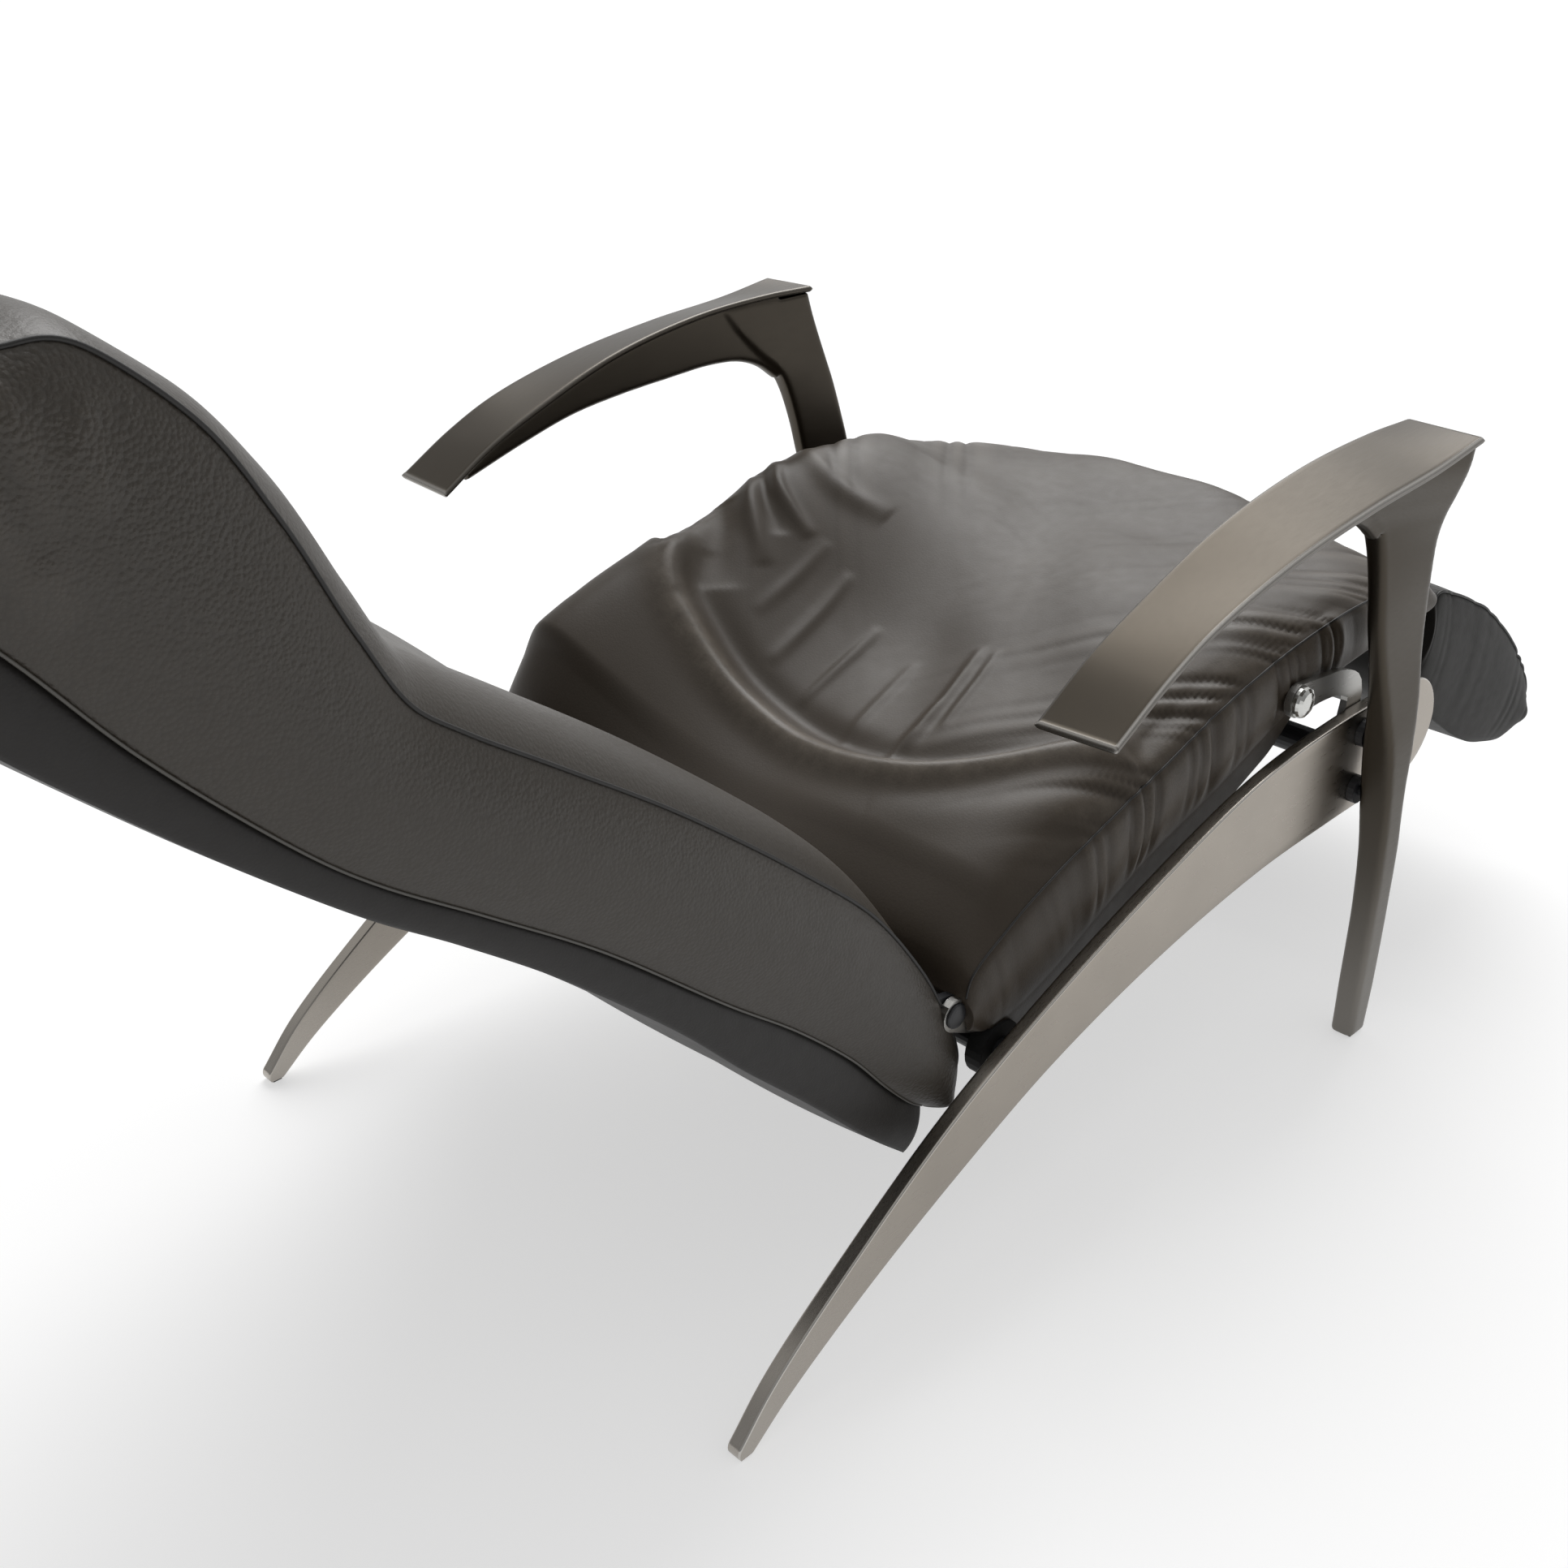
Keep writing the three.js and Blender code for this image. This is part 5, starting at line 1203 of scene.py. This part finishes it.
@dataclass
class ArmCasting:
    """The arm plate with the web and the leg that carry it, cast in one."""

    outer_x: float = 0.365
    width: float = 0.061
    leg_inset: float = 0.006
    length: float = 0.427
    height: float = 0.554
    front_y: float = 0.033
    thickness: float = 0.006
    edge: float = 0.0014
    web: float = 0.014
    soften: float = 0.5
    soften_rounds: int = 7
    leg_depth: float = 0.067
    leg_width: float = 0.020
    foot_z: float = 0.002
    cell: float = 0.0016
    top_shares: tuple = (
        (1, 0.825, 0.83), (0.888, 0.876, 0.878), (0.775, 0.913, 0.914), (0.571, 0.967, 0.951),
        (0.347, 0.998, 0.973), (0.143, 1.006, 0.985), (0, 1.003, 1),
    )
    web_shares: tuple = (
        (0.946, 0.828), (0.803, 0.861), (0.677, 0.885), (0.546, 0.897), (0.422, 0.903),
        (0.295, 0.907), (0.211, 0.901), (0.15, 0.884), (0.098, 0.856),
    )
    leg_sections: tuple = (
        (0.0036, 0.13, -0.25, 0.224, 0.539, 0.539), (0.105, 0.07, -0.36, 0.191, 0.521, 0.521),
        (0.218, 0.01, -0.42, 0.164, 0.501, 0.501), (0.318, 0, -0.45, 0.118, 0.484, 0.484),
        (0.406, 0.02, -0.44, 0.037, 0.455, 0.455), (0.491, 0.09, -0.49, 0, 0.416, 0.427),
        (0.56, 0.21, -0.52, 0.03, 0.351, 0.388), (0.639, 0.42, -0.45, 0.06, 0.304, 0.351),
        (0.706, 0.61, -0.35, 0.06, 0.296, 0.361), (0.767, 0.75, -0.19, 0.06, 0.304, 0.416),
        (0.828, 0.93, -0.01, 0.06, 0.322, 0.493), (0.868, 1.12, 0.13, 0.06, 0.351, 0.596),
        (0.912, 1.55, 0.27, 0.079, 0.399, 0.755), (0.957, 1.95, 0.41, 0.088, 0.484, 0.906),
        (0.992, 2.2, 0.5, 0.097, 0.53, 0.972),
    )

    def __post_init__(self) -> None:
        """Works out the plate's upper edges."""
        table = np.array(self.top_shares) * (self.length, self.height, self.height) + (
            self.front_y + FRAME_SHIFT, 0, 0)
        self.top = smooth_line(table, 160)
        self.inner_x = self.outer_x - self.width

    def under(self, x: np.ndarray, y: np.ndarray) -> np.ndarray:
        """Gives the height of the middle of the plate over a place.

        Args:
            x: place across the chair.
            y: place along the chair.

        Returns:
            The height.
        """
        order = np.argsort(self.top[:, 0])
        inner = np.interp(y, self.top[order, 0], self.top[order, 1])
        outer = np.interp(y, self.top[order, 0], self.top[order, 2])
        share = np.clip((x - self.inner_x) / self.width, 0, 1)
        return inner + (outer - inner) * share - self.thickness / 2

    def plate(self) -> tuple[np.ndarray, np.ndarray]:
        """The arm plate as a thin bar with rounded long edges.

        Its two upper edges follow their own lines, the face between them is straight across, and both ends
        close in a small round.

        Returns:
            The (rows, columns, 3) grid and the brightness of its edges, partly polish and partly painted highlight.
        """
        line = self.top
        count = 24
        turn = np.linspace(np.pi / 2, -np.pi / 2, 7)
        share = np.linspace(0, 1, count + 1)
        radius = self.thickness / 2
        across = self.width - 2 * radius
        upper_x = self.inner_x + radius + across * share
        x = np.concatenate([upper_x, self.outer_x - radius + radius * np.cos(turn[1:-1]), upper_x[::-1],
                            self.inner_x + radius - radius * np.cos(turn[1:-1])])
        lift = np.concatenate([np.full(count + 1, radius), radius * np.sin(turn[1:-1]),
                               np.full(count + 1, -radius), -radius * np.sin(turn[1:-1])])
        part = np.clip((x - self.inner_x) / self.width, 0, 1)
        z = line[:, 1:2] + (line[:, 2:3] - line[:, 1:2]) * part - radius + lift
        grid = np.stack([np.broadcast_to(x, z.shape), np.broadcast_to(line[:, :1], z.shape), z], -1)
        # The upper outer edge, which faces the light, is brightest and the inner edge gets a fifth as much: painted
        # highlight on polished edges.
        outer_polish_and_painted_highlight = np.array([0.75, 0.5, 0.15, 0.0, 0.0])
        polish_and_painted_highlight = np.tile(np.concatenate([np.zeros(count + 1), outer_polish_and_painted_highlight, np.zeros(count + 1),
                                        0.2 * outer_polish_and_painted_highlight[::-1]]), (len(line), 1))
        ends = []
        turn_end = np.linspace(0, np.pi / 2, 5)[1:]
        for at, inward in ((0, 2), (-1, -3)):
            ring = grid[at]
            mid_z = line[at, 1] + (line[at, 2] - line[at, 1]) * part - radius
            rows = np.repeat(ring[None], 4, 0)
            rows[..., 2] = mid_z + (ring[:, 2] - mid_z) * np.cos(turn_end)[:, None]
            rows[..., 1] += np.sign(ring[0, 1] - grid[inward, 0, 1]) * radius * np.sin(turn_end)[:, None]
            ends.append(rows)
        grid = np.concatenate([ends[0][::-1], grid, ends[1]])
        # The rounded ends brighten the same way: painted highlight on a polished round.
        tip_polish_and_painted_highlight = np.broadcast_to(np.array([0.2, 0.5, 0.6, 0.2])[:, None], (4, polish_and_painted_highlight.shape[1]))
        polish_and_painted_highlight = np.concatenate([tip_polish_and_painted_highlight[::-1], polish_and_painted_highlight, tip_polish_and_painted_highlight])
        return grid, polish_and_painted_highlight

    def leg_grid(self) -> np.ndarray:
        """The leg as level sections: rounded four-sided shapes that widen under the plate."""
        table = smooth_line(np.array(self.leg_sections), 130)
        reach = self.width + self.leg_inset
        base = self.outer_x - self.width - self.leg_inset
        z, rear, front, inner, outer_rear, outer_front = (table[:, i] for i in range(6))
        rear_y, front_y = (self.leg_depth * value + FRAME_SHIFT for value in (rear, front))
        inner_x, rear_x, front_x = (base + reach * value for value in (inner, outer_rear, outer_front))
        e = self.leg_width * 0.3
        shape = np.array([
            np.stack([x + dx * e, y + dy * e], -1)
            for x, y, moves in (
                (inner_x, rear_y, ((0, -1), (0, 0), (1, 0))), (rear_x, rear_y, ((-1, 0), (0, 0), (0, -1))),
                (front_x, front_y, ((0, 1), (0, 0), (-1, 0))), (inner_x, front_y, ((1, 0), (0, 0), (0, 1))),
            )
            for dx, dy in moves
        ])
        t = np.linspace(0, 1, 6)[:-1, None, None]
        rings = []
        for corner in range(4):
            a, b, c = shape[3 * corner], shape[3 * corner + 1], shape[3 * corner + 2]
            n = shape[(3 * corner + 3) % 12]
            rings.append((1 - t) ** 2 * a + 2 * t * (1 - t) * b + t**2 * c)
            rings.append(c + (n - c) * np.linspace(0, 1, 7)[:-1, None, None])
        ring = np.concatenate(rings).transpose(1, 0, 2)
        heights = np.minimum(self.height * z[:, None], self.under(ring[..., 0], ring[..., 1]))
        return np.concatenate([ring, heights[..., None]], -1)

    def web_grid(self) -> np.ndarray:
        """The web: a rib under the plate that narrows to a round lower edge."""
        line = smooth_line(np.array(self.web_shares) * (self.length, self.height) + (
            self.front_y + FRAME_SHIFT, 0), 100)
        y, z = line[:, 0:1], line[:, 1:2]
        inner_x = self.inner_x + self.edge
        depth = np.maximum(self.under(inner_x, y) - z, self.thickness)
        flare = np.minimum(depth * 0.75, self.width - self.web - 3 * self.edge)
        low = self.under(inner_x, y) - depth
        down = np.linspace(0, 1, 9)[None, :-1]
        outer_x = inner_x + self.web + flare * (1 - down) ** 1.8
        outer_z = self.under(inner_x + self.web + flare, y) * (1 - down) + (low + self.edge) * down
        turn = np.linspace(0, np.pi, 7)
        round_x = inner_x + self.web / 2 + self.web / 2 * np.cos(turn)
        round_z = low + self.web / 3 * (1 - np.sin(turn))
        up_x = np.full((1, 4), inner_x)
        up_z = low + self.web / 3 + (self.under(inner_x, y) - low - self.web / 3) * np.linspace(0, 1, 5)[None, 1:]
        x = np.concatenate([outer_x, np.broadcast_to(round_x, (len(line), 7)), np.broadcast_to(
            up_x, (len(line), 4))], 1)
        height = np.concatenate([outer_z, round_z, up_z], 1)
        return np.stack([x, np.broadcast_to(y, x.shape), height], -1)

    def lower_body(self) -> tuple[np.ndarray, np.ndarray]:
        """Fuses leg and web into one skin and softens the corner between them.

        Both are closed, remeshed together in small cells, and each point then moves towards the mean of its
        neighbours a few times.

        Returns:
            Places and faces.
        """
        places, faces, count = [], [], 0
        for grid in (self.leg_grid(), self.web_grid()):
            rows, columns = grid.shape[:2]
            closed = np.vstack([grid.reshape(-1, 3), grid[0].mean(0), grid[-1].mean(0)])
            ring = np.arange(columns)
            after = (ring + 1) % columns
            caps = [np.stack([np.full(columns, rows * columns), after, ring], -1),
                    np.stack([np.full(columns, rows * columns + 1), (rows - 1) * columns + ring,
                              (rows - 1) * columns + after], -1)]
            quads = grid_faces(rows, columns)
            triangles = np.vstack([quads[:, [0, 1, 2]], quads[:, [0, 2, 3]], *caps])
            faces.append(triangles + count)
            places.append(closed)
            count += len(closed)
        body = build_piece("casting_blank", np.vstack(places), np.vstack(faces), weld=1e-6)
        remesh = body.modifiers.new("cells", "REMESH")
        remesh.mode = "VOXEL"
        remesh.voxel_size = self.cell
        smooth = body.modifiers.new("soften", "SMOOTH")
        smooth.factor = self.soften
        smooth.iterations = self.soften_rounds
        bpy.context.view_layer.update()
        result = body.evaluated_get(bpy.context.evaluated_depsgraph_get()).to_mesh()
        places = np.empty(len(result.vertices) * 3)
        result.vertices.foreach_get("co", places)
        quads = [list(p.vertices) for p in result.polygons]
        body.to_mesh_clear()
        bpy.data.objects.remove(body)
        return places.reshape(-1, 3), quads

    def build(self) -> list[bpy.types.Object]:
        """Makes the plate and the lower body on both sides.

        Returns:
            The pieces.
        """
        plate, polish_and_painted_highlight = self.plate()
        places, faces = self.lower_body()
        places[:, 2] = np.maximum(places[:, 2], self.foot_z)
        # Painted light: the leg brightens towards the floor.
        leg_foot_painted_light = 0.25 * bell(places[:, 2] - 0.02, 0.12)
        pieces = []
        for name, sign in SIDES:
            mirror = np.array([sign, 1.0, 1.0])
            top = skin_piece(f"arm_plate_{name}", plate * mirror, {"edge": polish_and_painted_highlight}, METAL_WELD)
            low = build_piece(f"arm_leg_{name}", places * mirror, faces, {"edge": leg_foot_painted_light}, weld=1e-7)
            for piece in (top, low):
                ARM_METAL.dress(piece)
                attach(piece, "base")
                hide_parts(f"arm_leg_casting_{name}")
                pieces.append(piece)
        return pieces


@dataclass(frozen=True)
class Hardware:
    """The frame's own nodes, which keep their shape and get their finishes."""

    finishes: tuple = (
        (("pivot_bracket", "seat_side_bar"), BARE_METAL),
        (("seat_pivot_pin", "legrest_pin", "seat_strut_rod", "back_strut_rod"), BRIGHT_STEEL),
        (("front_glide", "rear_glide", "seat_buffer"), RUBBER),
        (("seat_strap",), WEBBING),
    )

    def dress(self) -> int:
        """Gives every node of the frame a finish, dark steel where none is named.

        Returns:
            How many nodes were dressed.
        """
        for name, node in frame["nodes"].items():
            finish = next((f for starts, f in self.finishes if name.startswith(starts)), DARK_STEEL)
            finish.dress(node)
        return len(frame["nodes"])


# ---------------------------------------------------------------------------------------------- studio


@dataclass(frozen=True)
class Studio:
    """Pale floor, soft light from above, and the camera of the photograph."""

    camera_at: tuple[float, float, float] = (-0.9040, 0.93610, 0.94395)
    yaw: float = 0.782676
    pitch: float = 0.486144
    lens_mm: float = 41.9
    film_mm: float = 36.0
    floor_size: float = 60.0
    air_behind: float = 0.33
    air_ahead: float = 0.84
    matt_share: float = 0.74
    brightest: tuple[float, float, float] = (0.33, -0.44, 0.835)
    key: float = 1.8
    key_softness: float = 44.0
    key_turn: tuple[float, float] = (33.0, 31.0)

    def build(self) -> None:
        """Sets up camera, floor, lamps and world."""
        scene = bpy.context.scene
        data = bpy.data.cameras.new("camera")
        data.lens = self.lens_mm
        data.sensor_width = self.film_mm
        data.sensor_fit = "HORIZONTAL"
        camera = bpy.data.objects.new("camera", data)
        camera.location = self.camera_at
        camera.rotation_euler = (math.pi / 2 - self.pitch, 0, math.pi + self.yaw)
        scene.collection.objects.link(camera)
        scene.camera = camera
        scene.view_settings.view_transform = "Standard"
        self.floor()
        lamp = bpy.data.lights.new("key", "SUN")
        lamp.energy = self.key
        lamp.angle = math.radians(self.key_softness)
        key = bpy.data.objects.new("key", lamp)
        key.rotation_euler = (*map(math.radians, self.key_turn), 0)
        scene.collection.objects.link(key)
        world = bpy.data.worlds.new("studio_air")
        world.use_nodes = True
        tree = world.node_tree
        tree.nodes.clear()
        path = add_node(tree, "ShaderNodeLightPath").outputs
        seen = times(tree, path["Is Camera Ray"], path["Is Transmission Ray"], "MAXIMUM")
        way = add_node(tree, "ShaderNodeTexCoord").outputs["Generated"]
        toward = add_node(tree, "ShaderNodeVectorMath", {0: way, 1: self.brightest}, operation="DOT_PRODUCT")
        air = add_node(tree, "ShaderNodeMapRange", {
            "Value": toward.outputs["Value"], "From Min": 0.1, "From Max": 0.95,
            "To Min": self.air_behind, "To Max": self.air_ahead,
        }).outputs["Result"]
        share = add_node(tree, "ShaderNodeMapRange", {
            "Value": path["Is Glossy Ray"], "To Min": self.matt_share, "To Max": 1.0,
        }).outputs["Result"]
        strength = times(tree, times(tree, air, share), seen, "MAXIMUM")
        glow = add_node(tree, "ShaderNodeBackground", {"Color": (1.0, 1.0, 1.0, 1.0), "Strength": strength})
        add_node(tree, "ShaderNodeOutputWorld", {"Surface": glow.outputs[0]})
        scene.world = world

    def floor(self) -> None:
        """A wide pale floor that shows white and keeps the chair's shadow."""
        half = self.floor_size / 2
        points = np.array([(-half, -half, 0), (half, -half, 0), (half, half, 0), (-half, half, 0)])
        piece = build_piece("floor", points, [(0, 1, 2, 3)])
        material = bpy.data.materials.new("pale_floor")
        material.use_nodes = True
        tree = material.node_tree
        tree.nodes.clear()
        path = add_node(tree, "ShaderNodeLightPath").outputs
        seen = times(tree, times(tree, path["Is Camera Ray"], path["Is Glossy Ray"], "MAXIMUM"),
                     path["Is Transmission Ray"], "MAXIMUM")
        matt = add_node(tree, "ShaderNodeBsdfDiffuse", {"Color": linear("#c9c9c9")})
        glow = add_node(tree, "ShaderNodeEmission", {"Color": (1, 1, 1, 1), "Strength": times(tree, seen, 0.56)})
        both = add_node(tree, "ShaderNodeAddShader", {0: matt.outputs[0], 1: glow.outputs[0]})
        add_node(tree, "ShaderNodeOutputMaterial", {"Surface": both.outputs[0]})
        piece.data.materials.append(material)


def main() -> None:
    """Builds the chair's visible pieces."""
    logging.basicConfig(level=logging.INFO, format="%(name)s: %(message)s")
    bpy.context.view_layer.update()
    Studio().build()
    LOG.info("dressed %d nodes of the frame", Hardware().dress())
    cushion = SeatCushion()
    pieces: list[bpy.types.Object] = [cushion.build()]
    makers: list[Callable[[], list[bpy.types.Object]]] = [
        cushion.build_seams, BackPad().build, LegrestPad().build, SideRail().build, ArmCasting().build,
    ]
    for make in makers:
        pieces.extend(make())
    for piece in pieces:
        LOG.info("%s has %d faces", piece.name, len(piece.data.polygons))


if __name__ == "__main__":
    main()
